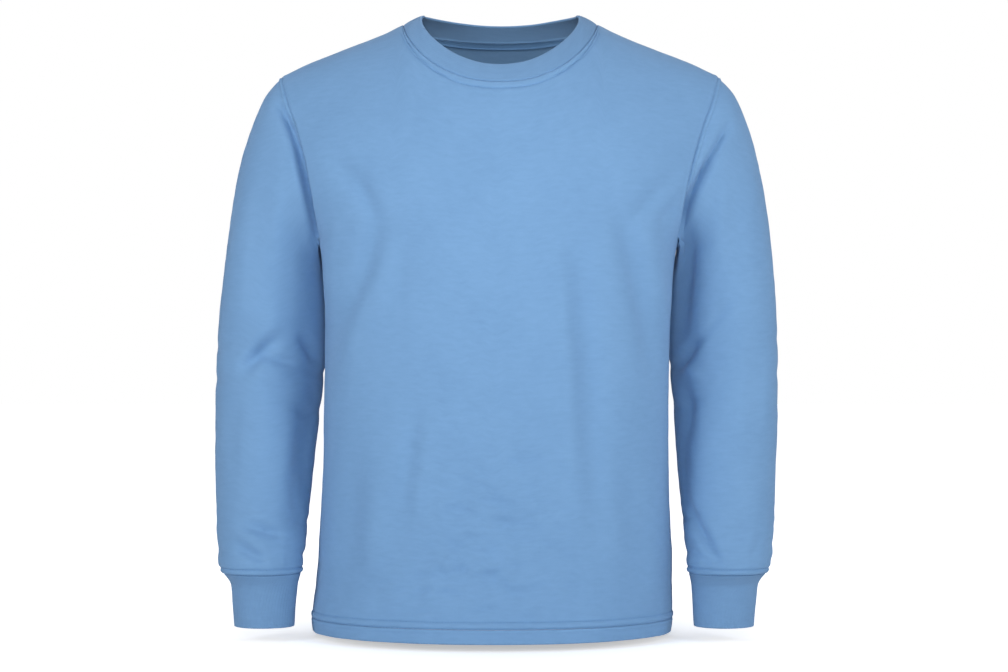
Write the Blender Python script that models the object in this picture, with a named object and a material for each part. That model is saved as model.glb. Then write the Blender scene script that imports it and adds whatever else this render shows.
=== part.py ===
"""Crewneck sweatshirt, filled out as it is worn: a hollow garment of thin cloth walls.

Metres, +Z up. The front of the garment faces -Y, and left and right are the wearer's,
so the left sleeve is at +X. The origin lies midway between the two points where the
shoulder seams meet the neckband, where a wearer's shoulders carry the garment.
"""
from math import asin, cos, hypot, pi, sin

import bmesh
import bpy
from mathutils import Vector

# ---- driving dimensions -------------------------------------------------------------
NECK_HALF_WIDTH = 0.1086      # neck seam at the shoulder line
FRONT_NECK_DROP = 0.0722      # neck seam at the centre front, below the neck points
BACK_NECK_DROP = 0.0095       # neck seam at the centre back
FRONT_NECK_CURVE = (2.2, 1.45)    # powers of the neckline across and down, (2, 2) is an ellipse
BACK_NECK_CURVE = (2.2, 1.0)
SHOULDER_RISE = 0.0240        # level of the shoulder seams, as a height on the centre line
SHOULDER_SLOPE = 0.5031       # steepest fall of the shoulder seam for each metre outwards
RIDGE_RADIUS = 0.100          # rounds the slopes of the two sides into each other
SHOULDER_HALF_WIDTH = 0.2440  # top end of the armhole
UNDERARM_HEIGHT = -0.245      # lowest point of the armhole
SLOPE_FADE_LEVEL = -0.300     # below this the levels of the body run flat
HEM_SEAM_LEVEL = -0.6605
HEM_LEVEL = -0.678

PANEL_WALL = 0.0020
SLEEVE_WALL = 0.0018
BAND_WALL = 0.0030            # neckband and hem bands are two layers
CUFF_WALL = 0.0024
TAPE_WALL = 0.0010
SEAM_GAP = 0.0003             # between two sewn pieces
TAPE_CLEARANCE = 0.0005       # between the tape and the inside of the back
TAPE_TOP = 0.0010             # from the neck seam down to the tape
TAPE_WIDTH = 0.0085
FOLD_BULGE = 0.45             # how far a folded edge rounds out, in wall thicknesses
MITRE_LIMIT = 1.6             # thickest rim at a bent seam, in wall thicknesses
FOLDED_BACK = -0.2            # cosine between two sewn walls that share no mitre
SEWN_FLAT = 0.5               # cosine from which they share it in full

FRONT_ARCH = (0.210, 1.7)     # reach below the shoulder seam, power
BACK_ARCH = (0.170, 2.3)

NECK_COLUMNS = 6              # columns of a half panel that end at the neckline
SHOULDER_COLUMNS = 5          # columns of a half panel that end at the shoulder seam
SIDE_ROWS = 9                 # rows from the hem seam to the underarm
ARMHOLE_ROWS = 11             # rows from the underarm to the shoulder
BAND_ROWS = 3
TAPE_LIES_ACROSS = 4          # points of the back panel's columns that the tape may pass
SEARCH_STEPS = 60
FINE_STEPS = 400
SHARP_ANGLE = pi / 4

# Body sections: level at the centre line, half width, depth forwards, depth backwards,
# and the superellipse power of the section (2 is an ellipse, more is squarer).
BODY_COLUMNS = ("level", "half_width", "front", "back", "square")
BODY = (
    (-0.678, 0.2006, 0.1330, 0.1150, 2.10),
    (-0.6605, 0.2024, 0.1320, 0.1140, 2.12),
    (-0.620, 0.1990, 0.1290, 0.1100, 2.15),
    (-0.540, 0.1947, 0.1240, 0.1030, 2.22),
    (-0.465, 0.1925, 0.1220, 0.0990, 2.28),
    (-0.390, 0.1920, 0.1230, 0.0990, 2.32),
    (-0.300, 0.1945, 0.1250, 0.1040, 2.36),
    (-0.2393, 0.2000, 0.1260, 0.1080, 2.40),
    (-0.187, 0.2165, 0.1260, 0.1080, 2.40),
    (-0.137, 0.2310, 0.1260, 0.1080, 2.40),
    (-0.101, 0.2405, 0.1260, 0.1080, 2.40),
    (-0.052, 0.2540, 0.1260, 0.1080, 2.40),
    (-0.014, 0.2700, 0.1260, 0.1080, 2.40),
    (0.0240, 0.2900, 0.1260, 0.1080, 2.40),
)

# Armhole seam: height and distance from the centre plane.
ARMHOLE_COLUMNS = ("height", "out")
ARMHOLE = (
    (-0.2450, 0.2000),
    (-0.2398, 0.1990),
    (-0.2050, 0.2035),
    (-0.1705, 0.2092),
    (-0.1472, 0.2147),
    (-0.1152, 0.2250),
    (-0.0894, 0.2350),
    (-0.05836, 0.2440),
)

# Sleeve sections below the armhole: the outer and the inner point of each, the depth in
# front of and behind the line between them, and how far it has turned from the armhole's
# shape (0) into an ellipse (1). The last one is the cuff seam.
SLEEVE_COLUMNS = ("outer_x", "outer_y", "outer_z", "inner_x", "inner_y", "inner_z",
                  "front", "back", "ellipse")
SLEEVE = (
    (0.2625, 0.0000, -0.0800, 0.2010, 0.0100, -0.2530, 0.066, 0.062, 0.25),
    (0.2780, 0.0030, -0.1140, 0.1995, 0.0240, -0.2640, 0.068, 0.066, 0.50),
    (0.2898, 0.0070, -0.1530, 0.1965, 0.0380, -0.2800, 0.069, 0.068, 0.75),
    (0.2992, 0.0120, -0.1987, 0.1935, 0.0460, -0.2990, 0.068, 0.068, 0.92),
    (0.3066, 0.0180, -0.2500, 0.1918, 0.0500, -0.3240, 0.066, 0.066, 1.00),
    (0.3128, 0.0240, -0.3080, 0.1928, 0.0500, -0.3530, 0.064, 0.064, 1.00),
    (0.3170, 0.0280, -0.3640, 0.1960, 0.0460, -0.3850, 0.062, 0.061, 1.00),
    (0.3178, 0.0270, -0.4160, 0.2000, 0.0370, -0.4240, 0.060, 0.058, 1.00),
    (0.3160, 0.0140, -0.4676, 0.2030, 0.0210, -0.4680, 0.058, 0.055, 1.00),
    (0.3132, 0.0010, -0.5100, 0.2058, 0.0070, -0.5090, 0.055, 0.053, 1.00),
    (0.3108, -0.0110, -0.5500, 0.2087, -0.0080, -0.5480, 0.052, 0.050, 1.00),
    (0.3078, -0.0220, -0.5870, 0.2120, -0.0200, -0.5850, 0.049, 0.047, 1.00),
    (0.3038, -0.0275, -0.6070, 0.2137, -0.0262, -0.6070, 0.044, 0.042, 1.00),
    (0.2935, -0.0290, -0.6180, 0.2168, -0.0290, -0.6180, 0.035, 0.034, 1.00),
)

# Cuff sections below its seam, in the same columns.
CUFF = (
    (0.2907, -0.0290, -0.6230, 0.2187, -0.0290, -0.6230, 0.0320, 0.0310, 1.00),
    (0.2890, -0.0295, -0.6460, 0.2205, -0.0295, -0.6460, 0.0290, 0.0280, 1.00),
    (0.2878, -0.0300, -0.6725, 0.2213, -0.0300, -0.6725, 0.0280, 0.0275, 1.00),
)

# Neckband edge, worked out from each point of the neck seam.
NECKBAND_NARROWING = 0.797    # of the distance from the centre plane
NECKBAND_FRONT_LEAN = 0.860   # of the depth in front
NECKBAND_BACK_LEAN = 0.870    # of the depth behind
NECKBAND_BACK_DRAW = 0.300    # taken off that towards the neck points
NECKBAND_SIDE_LIFT = 0.0114   # rise from the seam at the neck points
NECKBAND_FRONT_LIFT = 0.0083  # further rise at the centre front
NECKBAND_BACK_LIFT = 0.0052   # further rise at the centre back
NECKBAND_BACK_BOW = 0.0012    # rise between the neck points and the centre back

# Finishes: linear base colour, roughness.
JERSEY = ("jersey", (0.205, 0.395, 0.650), 0.90)
RIB = ("rib", (0.185, 0.360, 0.600), 0.92)
TAPE = ("tape", (0.165, 0.325, 0.560), 0.92)


# ---- curves and tables --------------------------------------------------------------
def smooth(value):
    value = min(max(value, 0.0), 1.0)
    return value * value * (3.0 - 2.0 * value)


def blend(first, second, weight):
    return first + (second - first) * weight


def read(table, columns, column, at):
    """Value of a column at a place along the first column, on one smooth curve."""
    place = columns.index(column)
    keys = [row[0] for row in table]
    values = [row[place] for row in table]
    last = len(keys) - 1
    at = min(max(at, keys[0]), keys[last])
    span = max(i for i in range(last) if keys[i] <= at)

    def tangent(i):
        low = max(i - 1, 0)
        high = min(i + 1, last)
        return (values[high] - values[low]) / (keys[high] - keys[low])

    width = keys[span + 1] - keys[span]
    t = (at - keys[span]) / width
    return (values[span] * (2 * t ** 3 - 3 * t ** 2 + 1)
            + values[span + 1] * (3 * t ** 2 - 2 * t ** 3)
            + tangent(span) * width * (t ** 3 - 2 * t ** 2 + t)
            + tangent(span + 1) * width * (t ** 3 - t ** 2))


def evenly_spaced(path, steps):
    """Points of a fine path at equal distances along it, both ends included."""
    reached = [0.0]
    for before, after in zip(path, path[1:]):
        reached.append(reached[-1] + (after[-1] - before[-1]).length)
    picked = [path[0]]
    for step in range(1, steps):
        goal = reached[-1] * step / steps
        picked.append(min(zip(reached, path), key=lambda pair: abs(pair[0] - goal))[1])
    picked.append(path[-1])
    return picked


# ---- the body's surface -------------------------------------------------------------
def fall(level, out):
    """Fall of a level outwards: none low on the body, parallel to the seams at the top."""
    fade = (level - SLOPE_FADE_LEVEL) / (SHOULDER_RISE - SLOPE_FADE_LEVEL)
    return SHOULDER_SLOPE * smooth(fade) * (hypot(out, RIDGE_RADIUS) - RIDGE_RADIUS)


def depth(face, level):
    """Depth of the body at its centre line, rounding over to nothing at the shoulders."""
    reach, power = FRONT_ARCH if face == "front" else BACK_ARCH
    below = min(max((SHOULDER_RISE - level) / reach, 0.0), 1.0)
    arch = (1.0 - (1.0 - below) ** power) ** (1.0 / power)
    return read(BODY, BODY_COLUMNS, face, level) * arch


def body_point(face, turn, level):
    """Point of the body; turn runs from 0 at the centre line to 1 at the side."""
    angle = abs(turn) * pi / 2
    power = 2 / read(BODY, BODY_COLUMNS, "square", level)
    out = read(BODY, BODY_COLUMNS, "half_width", level) * sin(angle) ** power
    deep = depth(face, level) * max(cos(angle), 0.0) ** power
    return Vector((out if turn >= 0 else -out,
                   -deep if face == "front" else deep,
                   level - fall(level, out)))


def shoulder_height(out):
    """Height of the shoulder seam's line at a distance from the centre plane."""
    return SHOULDER_RISE - fall(SHOULDER_RISE, out)


def level_at(out, height):
    """Level that passes a height at a distance from the centre plane."""
    low, high = HEM_LEVEL, SHOULDER_RISE
    for _ in range(SEARCH_STEPS):
        middle = (low + high) / 2
        if middle - fall(middle, out) < height:
            low = middle
        else:
            high = middle
    return (low + high) / 2


def turn_at(out, level):
    """Turn of the body's surface at a distance from the centre plane."""
    share = min(out / read(BODY, BODY_COLUMNS, "half_width", level), 1.0)
    return asin(share ** (read(BODY, BODY_COLUMNS, "square", level) / 2)) / (pi / 2)


# ---- panels -------------------------------------------------------------------------
def neckline(drop, curve):
    """Turn and level of each neckline point of a half panel, from the centre outwards."""
    points = []
    for column in range(NECK_COLUMNS + 1):
        share = sin(column / NECK_COLUMNS * pi / 2)
        out = NECK_HALF_WIDTH * share
        dip = drop * (1.0 - share ** curve[0]) ** (1.0 / curve[1])
        level = level_at(out, shoulder_height(NECK_HALF_WIDTH) - dip)
        points.append((turn_at(out, level), level))
    return points


def shoulder_seam():
    """Turn and level of each shoulder point after the neck point, out to the armhole."""
    points = []
    for column in range(1, SHOULDER_COLUMNS + 1):
        out = blend(NECK_HALF_WIDTH, SHOULDER_HALF_WIDTH, column / SHOULDER_COLUMNS)
        points.append((turn_at(out, SHOULDER_RISE), SHOULDER_RISE))
    return points


def armhole(face):
    """Turn and level of each armhole point from the underarm up to the shoulder."""
    path = []
    top = shoulder_height(SHOULDER_HALF_WIDTH)
    for step in range(FINE_STEPS + 1):
        height = blend(UNDERARM_HEIGHT, top, step / FINE_STEPS)
        out = read(ARMHOLE, ARMHOLE_COLUMNS, "out", height)
        level = level_at(out, height)
        turn = turn_at(out, level)
        path.append((turn, level, body_point(face, turn, level)))
    return [(turn, level) for turn, level, _ in evenly_spaced(path, ARMHOLE_ROWS)]


def panel(face, drop, curve):
    """Rows of a panel from the hem seam up, seen from outside with the columns rightwards."""
    tops = neckline(drop, curve) + shoulder_seam()
    seam = armhole(face)
    side = [(1.0, blend(HEM_SEAM_LEVEL, seam[0][1], row / SIDE_ROWS))
            for row in range(SIDE_ROWS)]
    side += seam
    last = len(tops) - 1
    tip_turn = tops[last][0]
    rows = []
    for side_turn, side_level in side:
        climb = (side_level - HEM_SEAM_LEVEL) / (SHOULDER_RISE - HEM_SEAM_LEVEL)
        half = []
        for column, (top_turn, top_level) in enumerate(tops):
            share = blend(column / last, top_turn / tip_turn, climb ** 2)
            level = side_level - (SHOULDER_RISE - top_level) * climb ** 3
            half.append((side_turn * share, level))
        row = [body_point(face, -turn, level) for turn, level in reversed(half[1:])]
        row += [body_point(face, turn, level) for turn, level in half]
        rows.append(row if face == "front" else row[::-1])
    return rows


def hem_band(face):
    """Two rows of a hem band, the lower edge first, in the columns of its panel."""
    last = NECK_COLUMNS + SHOULDER_COLUMNS
    rows = []
    for level in (HEM_LEVEL, HEM_SEAM_LEVEL):
        row = [body_point(face, column / last, level) for column in range(-last, last + 1)]
        rows.append(row if face == "front" else row[::-1])
    return rows


# ---- neck ---------------------------------------------------------------------------
def neckband(front, back):
    """Rows of the neckband from its seam up, round from the right neck point by the front."""
    middle = NECK_COLUMNS + SHOULDER_COLUMNS
    picked = slice(middle - NECK_COLUMNS, middle + NECK_COLUMNS)
    rows = [[] for _ in range(BAND_ROWS + 1)]
    for point, lean, draw, drop, lift, bow in (
            [(p, NECKBAND_FRONT_LEAN, 0.0, FRONT_NECK_DROP, NECKBAND_FRONT_LIFT, 0.0)
             for p in front[-1][picked]]
            + [(p, NECKBAND_BACK_LEAN, NECKBAND_BACK_DRAW, BACK_NECK_DROP, NECKBAND_BACK_LIFT,
                NECKBAND_BACK_BOW) for p in back[-1][picked]]):
        lean -= draw * abs(point.x / NECK_HALF_WIDTH) ** 3
        share = -point.z / drop
        rise = NECKBAND_SIDE_LIFT + lift * share + 4 * bow * share * (1.0 - share)
        edge = Vector((point.x * NECKBAND_NARROWING, point.y * lean, point.z + rise))
        for row in range(BAND_ROWS + 1):
            rows[row].append(point.lerp(edge, row / BAND_ROWS))
    return rows


# ---- sleeves and cuffs --------------------------------------------------------------
def armhole_ring(front, back):
    """The left armhole: from the underarm up its back to the shoulder and down its front."""
    behind = [row[0] for row in back[SIDE_ROWS:]]
    ahead = [row[-1] for row in front[SIDE_ROWS:]]
    return behind + ahead[-2:0:-1]


def section_frame(outer, inner):
    """Middle, half length and unit axes of the line from an inner to an outer point."""
    along = (outer - inner) / 2
    up = along.normalized()
    across = Vector((0, 1, 0))
    return (outer + inner) / 2, along, across, across.cross(up)


def sleeve_rings(ring, table):
    """Sleeve sections below the armhole ring, each point of them under one of the ring's."""
    half = len(ring) // 2
    middle, along, across, beyond = section_frame(ring[half], ring[0])
    reach_back = max(point.y for point in ring)
    reach_front = -min(point.y for point in ring)
    rings = []
    for row in table:
        value = dict(zip(SLEEVE_COLUMNS, row))
        outer = Vector((value["outer_x"], value["outer_y"], value["outer_z"]))
        inner = Vector((value["inner_x"], value["inner_y"], value["inner_z"]))
        new_middle, new_along, new_across, new_beyond = section_frame(outer, inner)
        points = []
        for index, point in enumerate(ring):
            angle = pi * index / half
            offset = point - middle
            height = blend(offset.dot(along) / along.length_squared, -cos(angle),
                           value["ellipse"])
            behind = index < half
            reach = reach_back if behind else reach_front
            side = blend(offset.dot(across) / reach, sin(angle), value["ellipse"])
            width = value["back"] if behind else value["front"]
            bow = offset.dot(beyond) * (1 - value["ellipse"])
            points.append(new_middle + new_along * height + new_across * side * width
                          + new_beyond * bow)
        rings.append(points)
    return rings


def mirrored(rows):
    """The same piece on the right side, with its columns still seen from outside."""
    return [[Vector((-p.x, p.y, p.z)) for p in reversed(row)] for row in rows]


# ---- walls --------------------------------------------------------------------------
def point_key(point):
    return tuple(round(value, 6) for value in point)


def own_normals(rows, closed):
    """Outward normal at each point of a piece, the mean of the faces round it."""
    height = len(rows)
    width = len(rows[0])
    normals = [[Vector() for _ in row] for row in rows]
    for j in range(height - 1):
        for i in range(width if closed else width - 1):
            corners = ((j, i), (j, (i + 1) % width), (j + 1, (i + 1) % width), (j + 1, i))
            a, b, c, d = (rows[y][x] for y, x in corners)
            normal = (c - a).cross(d - b)
            for y, x in corners:
                normals[y][x] += normal
    return [[normal.normalized() for normal in row] for row in normals]


def shared_normals(pieces):
    """Normals by cloth group at each point, so that sewn walls can meet in one plane."""
    shared = {}
    for piece in pieces:
        for row, normals in zip(piece["rows"], piece["normals"]):
            for point, normal in zip(row, normals):
                groups = shared.setdefault(point_key(point), {})
                groups[piece["group"]] = groups.get(piece["group"], Vector()) + normal
    return shared


def wall_direction(piece, point, shared):
    """Direction of the wall's thickness: mitred with what is sewn on, unless it folds back."""
    groups = shared[point_key(point)]
    own = groups[piece["group"]].normalized()
    total = own.copy()
    for group, normal in groups.items():
        if group != piece["group"]:
            normal = normal.normalized()
            share = (own.dot(normal) - FOLDED_BACK) / (SEWN_FLAT - FOLDED_BACK)
            total += normal * smooth(share)
    direction = total.normalized()
    return direction, 1.0 / max(direction.dot(own), 1.0 / MITRE_LIMIT)


def drawn_back(piece, directions):
    """The piece's points, with each sewn edge drawn back by half of the seam gap."""
    rows = piece["rows"]
    closed = piece["closed"]
    height = len(rows)
    width = len(rows[0])
    moved = [[point.copy() for point in row] for row in rows]

    def draw_back(j, i, before, after, inside):
        tangent = rows[after[0]][after[1]] - rows[before[0]][before[1]]
        pull = tangent.cross(directions[j][i][0]).normalized()
        if pull.dot(rows[inside[0]][inside[1]] - rows[j][i]) < 0:
            pull = -pull
        moved[j][i] += pull * SEAM_GAP / 2

    for edge, row, inside in (("lower", 0, 1), ("upper", height - 1, height - 2)):
        if edge in piece["seams"]:
            for i in range(width):
                before = (i - 1) % width if closed else max(i - 1, 0)
                after = (i + 1) % width if closed else min(i + 1, width - 1)
                draw_back(row, i, (row, before), (row, after), (inside, i))
    for edge, column, inside in (("first", 0, 1), ("last", width - 1, width - 2)):
        if edge in piece["seams"]:
            for j in range(height):
                draw_back(j, column, (max(j - 1, 0), column),
                          (min(j + 1, height - 1), column), (j, inside))
    return moved


def wall_mesh(piece, directions):
    """A closed wall under the piece's points, with round rims along its folded edges."""
    outside = drawn_back(piece, directions)
    closed = piece["closed"]
    wall = piece["wall"]
    height = len(outside)
    width = len(outside[0])
    mesh = bmesh.new()
    outer = [[mesh.verts.new(point) for point in row] for row in outside]
    inner = []
    for j in range(height):
        inner.append([mesh.verts.new(outside[j][i] - directions[j][i][0] * wall
                                     * directions[j][i][1]) for i in range(width)])

    def strip(first, second, wrap):
        count = len(first)
        for i in range(count if wrap else count - 1):
            after = (i + 1) % count
            mesh.faces.new((first[i], first[after], second[after], second[i]))

    for j in range(height - 1):
        strip(outer[j], outer[j + 1], closed)
        strip(inner[j + 1], inner[j], closed)
    for edge, row, beside in (("lower", 0, 1), ("upper", height - 1, height - 2)):
        below, above = (inner[row], outer[row]) if edge == "lower" else (outer[row], inner[row])
        if edge not in piece["folds"]:
            strip(below, above, closed)
            continue
        fold = []
        for i in range(width):
            middle = (outer[row][i].co + inner[row][i].co) / 2
            away = (outside[row][i] - outside[beside][i]).normalized()
            fold.append(mesh.verts.new(middle + away * wall * FOLD_BULGE))
        strip(below, fold, closed)
        strip(fold, above, closed)
        if not closed:
            for i in (0, width - 1):
                mesh.faces.new((inner[row][i], fold[i], outer[row][i]))
    if not closed:
        strip([row[0] for row in outer], [row[0] for row in inner], False)
        strip([row[-1] for row in inner], [row[-1] for row in outer], False)
    bmesh.ops.triangulate(mesh, faces=mesh.faces, quad_method="SHORT_EDGE")
    bmesh.ops.recalc_face_normals(mesh, faces=mesh.faces)
    if mesh.calc_volume(signed=True) < 0:
        bmesh.ops.reverse_faces(mesh, faces=mesh.faces)
    return mesh


def neck_tape(back, directions):
    """Rows of the tape, on the inside of the back panel just under the neck seam."""
    middle = NECK_COLUMNS + SHOULDER_COLUMNS
    columns = range(middle + NECK_COLUMNS - 1, middle - NECK_COLUMNS, -1)
    top = len(back) - 1
    rows = [[], [], []]
    for column in columns:
        sunk = [back[top - k][column] - directions[top - k][column][0]
                * (PANEL_WALL * directions[top - k][column][1] + TAPE_CLEARANCE)
                for k in range(TAPE_LIES_ACROSS)]
        for row, goal in enumerate((TAPE_TOP, TAPE_TOP + TAPE_WIDTH / 2, TAPE_TOP + TAPE_WIDTH)):
            left = goal
            k = 0
            while left > (sunk[k + 1] - sunk[k]).length:
                left -= (sunk[k + 1] - sunk[k]).length
                k += 1
            rows[2 - row].append(sunk[k] + (sunk[k + 1] - sunk[k]).normalized() * left)
    return [row[::-1] for row in rows]


# ---- scene --------------------------------------------------------------------------
def finish_material(finish):
    name, colour, roughness = finish
    material = bpy.data.materials.get(name)
    if material is None:
        material = bpy.data.materials.new(name)
        material.use_nodes = True
        shader = material.node_tree.nodes["Principled BSDF"]
        shader.inputs["Base Color"].default_value = (*colour, 1.0)
        shader.inputs["Roughness"].default_value = roughness
        shader.inputs["Metallic"].default_value = 0.0
    return material


def add_piece(piece, directions, parent):
    mesh = bpy.data.meshes.new(piece["name"])
    shape = wall_mesh(piece, directions)
    shape.to_mesh(mesh)
    shape.free()
    mesh.shade_smooth()
    mesh.set_sharp_from_angle(angle=SHARP_ANGLE)
    mesh.materials.append(finish_material(piece["finish"]))
    made = bpy.data.objects.new(piece["name"], mesh)
    made.parent = parent
    bpy.context.scene.collection.objects.link(made)


def sewn_piece(name, group, rows, wall, finish, seams, closed=False, folds=()):
    return {"name": name, "group": group, "rows": rows, "wall": wall, "finish": finish,
            "seams": seams, "closed": closed, "folds": folds,
            "normals": own_normals(rows, closed)}


def main():
    for old in list(bpy.data.objects):
        bpy.data.objects.remove(old, do_unlink=True)

    front = panel("front", FRONT_NECK_DROP, FRONT_NECK_CURVE)
    back = panel("back", BACK_NECK_DROP, BACK_NECK_CURVE)
    ring = armhole_ring(front, back)
    sleeve = [ring] + sleeve_rings(ring, SLEEVE)
    cuff = [sleeve[-1]] + sleeve_rings(ring, CUFF)
    all_edges = ("lower", "upper", "first", "last")
    band_edges = ("upper", "first", "last")

    pieces = [
        sewn_piece("front_panel", "body", front, PANEL_WALL, JERSEY, all_edges),
        sewn_piece("back_panel", "body", back, PANEL_WALL, JERSEY, all_edges),
        sewn_piece("hem_band_front", "hem", hem_band("front"), BAND_WALL, JERSEY,
                   band_edges, folds=("lower",)),
        sewn_piece("hem_band_back", "hem", hem_band("back"), BAND_WALL, JERSEY,
                   band_edges, folds=("lower",)),
        sewn_piece("neckband", "neck", neckband(front, back), BAND_WALL, RIB,
                   ("lower",), closed=True, folds=("upper",)),
    ]
    for side, turned in (("left", lambda rows: rows), ("right", mirrored)):
        pieces.append(sewn_piece("sleeve_" + side, "sleeve", turned(sleeve), SLEEVE_WALL,
                                 JERSEY, ("lower", "upper"), closed=True))
        pieces.append(sewn_piece("cuff_" + side, "cuff", turned(cuff), CUFF_WALL, RIB,
                                 ("lower",), closed=True, folds=("upper",)))

    shared = shared_normals(pieces)
    garment = bpy.data.objects.new("sweatshirt", None)
    bpy.context.scene.collection.objects.link(garment)
    for piece in pieces:
        directions = [[wall_direction(piece, point, shared) for point in row]
                      for row in piece["rows"]]
        add_piece(piece, directions, garment)
        if piece["name"] == "back_panel":
            tape = sewn_piece("neck_tape", "tape", neck_tape(back, directions), TAPE_WALL,
                              TAPE, ())
            plain = [[(normal, 1.0) for normal in row] for row in tape["normals"]]
            add_piece(tape, plain, garment)


main()
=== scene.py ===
import math

import bpy
import numpy as np
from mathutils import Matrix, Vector, noise


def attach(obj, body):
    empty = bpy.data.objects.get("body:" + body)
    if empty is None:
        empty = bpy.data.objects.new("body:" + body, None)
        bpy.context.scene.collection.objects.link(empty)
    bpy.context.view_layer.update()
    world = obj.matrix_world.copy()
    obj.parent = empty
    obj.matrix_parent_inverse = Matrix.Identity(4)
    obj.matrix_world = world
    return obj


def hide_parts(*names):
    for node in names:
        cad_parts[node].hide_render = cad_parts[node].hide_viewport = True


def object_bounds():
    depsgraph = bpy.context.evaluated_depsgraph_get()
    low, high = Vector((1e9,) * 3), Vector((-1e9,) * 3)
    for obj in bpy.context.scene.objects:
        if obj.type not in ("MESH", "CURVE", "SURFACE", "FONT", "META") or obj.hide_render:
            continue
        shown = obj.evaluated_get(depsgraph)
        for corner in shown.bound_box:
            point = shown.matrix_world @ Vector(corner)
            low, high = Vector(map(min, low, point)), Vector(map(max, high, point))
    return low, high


# Crewneck sweatshirt, filled out as worn. Metres, +Z up, front towards -Y, wearer's left at +X.
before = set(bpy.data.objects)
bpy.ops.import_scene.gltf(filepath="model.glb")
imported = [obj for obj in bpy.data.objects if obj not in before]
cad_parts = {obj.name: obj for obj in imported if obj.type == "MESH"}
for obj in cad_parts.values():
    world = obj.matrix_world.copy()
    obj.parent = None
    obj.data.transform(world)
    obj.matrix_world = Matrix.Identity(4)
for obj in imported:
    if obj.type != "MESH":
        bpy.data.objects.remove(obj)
cadLow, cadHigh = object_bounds()
print("frame loaded, box", [round(v, 4) for v in (*cadLow, *cadHigh)])

# Sizes of the pattern
garment = {
    "neckHalfWidth": 0.1086,
    "frontNeckDrop": 0.0722,
    "backNeckDrop": 0.0095,
    "frontNeckCurve": (2.2, 1.45),  # powers across and down
    "backNeckCurve": (2.2, 1.0),
    "shoulderRise": 0.0240,
    "shoulderSlope": 0.5031,
    "ridgeRadius": 0.100,
    "shoulderHalfWidth": 0.2440,
    "underarmHeight": -0.245,
    "slopeFadeLevel": -0.300,
    "hemSeamLevel": -0.6605,
    "hemLevel": -0.678,
    "hemFold": -0.6748,             # where the cloth of the hem turns back
    "seamGap": 0.0003,
    "sleeveClearance": 0.0016,
    "frontArch": (0.210, 1.7),      # reach below the shoulder seam, power
    "backArch": (0.170, 2.3),
}

# height, how far the whole garment stands off its centre plane there
standing = np.array((
    (-0.690, -0.0040),
    (-0.600, -0.0026),
    (-0.500, -0.0021),
    (-0.340, 0.0004),
    (-0.200, 0.0018),
    (0.040, 0.0034),
))

# distance from the centre plane, how far the shoulder line stands above its plain curve
shoulderLine = np.array((
    (0.000, 0.0000),
    (0.095, 0.0004),
    (0.110, 0.0006),
    (0.128, -0.0012),
    (0.150, -0.0014),
    (0.185, 0.0002),
    (0.218, 0.0018),
    (0.245, 0.0010),
    (0.320, 0.0000),
))

# level, half width, depth in front, depth behind, squareness
bodySections = np.array((
    (-0.678, 0.2006, 0.1330, 0.1150, 2.10),
    (-0.6605, 0.2024, 0.1320, 0.1140, 2.12),
    (-0.620, 0.1990, 0.1290, 0.1100, 2.15),
    (-0.540, 0.1947, 0.1240, 0.1030, 2.22),
    (-0.465, 0.1925, 0.1220, 0.0990, 2.28),
    (-0.390, 0.1920, 0.1230, 0.0990, 2.32),
    (-0.300, 0.1945, 0.1250, 0.1040, 2.36),
    (-0.2393, 0.2000, 0.1260, 0.1080, 2.40),
    (-0.187, 0.2165, 0.1260, 0.1080, 2.40),
    (-0.137, 0.2310, 0.1260, 0.1080, 2.40),
    (-0.101, 0.2405, 0.1260, 0.1080, 2.40),
    (-0.052, 0.2540, 0.1260, 0.1080, 2.40),
    (-0.014, 0.2700, 0.1260, 0.1080, 2.40),
    (0.0240, 0.2900, 0.1260, 0.1080, 2.40),
))

# height, distance from the centre plane
armholeSeam = np.array((
    (-0.2450, 0.2000),
    (-0.2398, 0.1990),
    (-0.2050, 0.2035),
    (-0.1705, 0.2092),
    (-0.1472, 0.2147),
    (-0.1152, 0.2250),
    (-0.0894, 0.2350),
    (-0.05836, 0.2440),
))

# outer point, inner point, depth in front, depth behind, share of an ellipse
sleeveSections = np.array((
    (0.2625, 0.0000, -0.0800, 0.2010, 0.0100, -0.2530, 0.066, 0.062, 0.25),
    (0.2780, 0.0030, -0.1140, 0.1995, 0.0240, -0.2640, 0.068, 0.066, 0.50),
    (0.2898, 0.0070, -0.1530, 0.1965, 0.0380, -0.2800, 0.069, 0.068, 0.75),
    (0.2992, 0.0120, -0.1987, 0.1935, 0.0460, -0.2990, 0.068, 0.068, 0.92),
    (0.3066, 0.0180, -0.2500, 0.1918, 0.0500, -0.3240, 0.066, 0.066, 1.00),
    (0.3128, 0.0240, -0.3080, 0.1928, 0.0500, -0.3530, 0.064, 0.064, 1.00),
    (0.3170, 0.0280, -0.3640, 0.1960, 0.0460, -0.3850, 0.062, 0.061, 1.00),
    (0.3178, 0.0270, -0.4160, 0.2000, 0.0370, -0.4240, 0.060, 0.058, 1.00),
    (0.3160, 0.0140, -0.4676, 0.2030, 0.0210, -0.4680, 0.058, 0.055, 1.00),
    (0.3132, 0.0010, -0.5100, 0.2058, 0.0070, -0.5090, 0.055, 0.053, 1.00),
    (0.3108, -0.0110, -0.5500, 0.2087, -0.0080, -0.5480, 0.052, 0.050, 1.00),
    (0.3078, -0.0220, -0.5870, 0.2120, -0.0200, -0.5850, 0.049, 0.047, 1.00),
    (0.3056, -0.0262, -0.6000, 0.2131, -0.0248, -0.6000, 0.0455, 0.0435, 1.00),
    (0.3005, -0.0280, -0.6095, 0.2150, -0.0275, -0.6095, 0.0410, 0.0395, 1.00),
))
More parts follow.
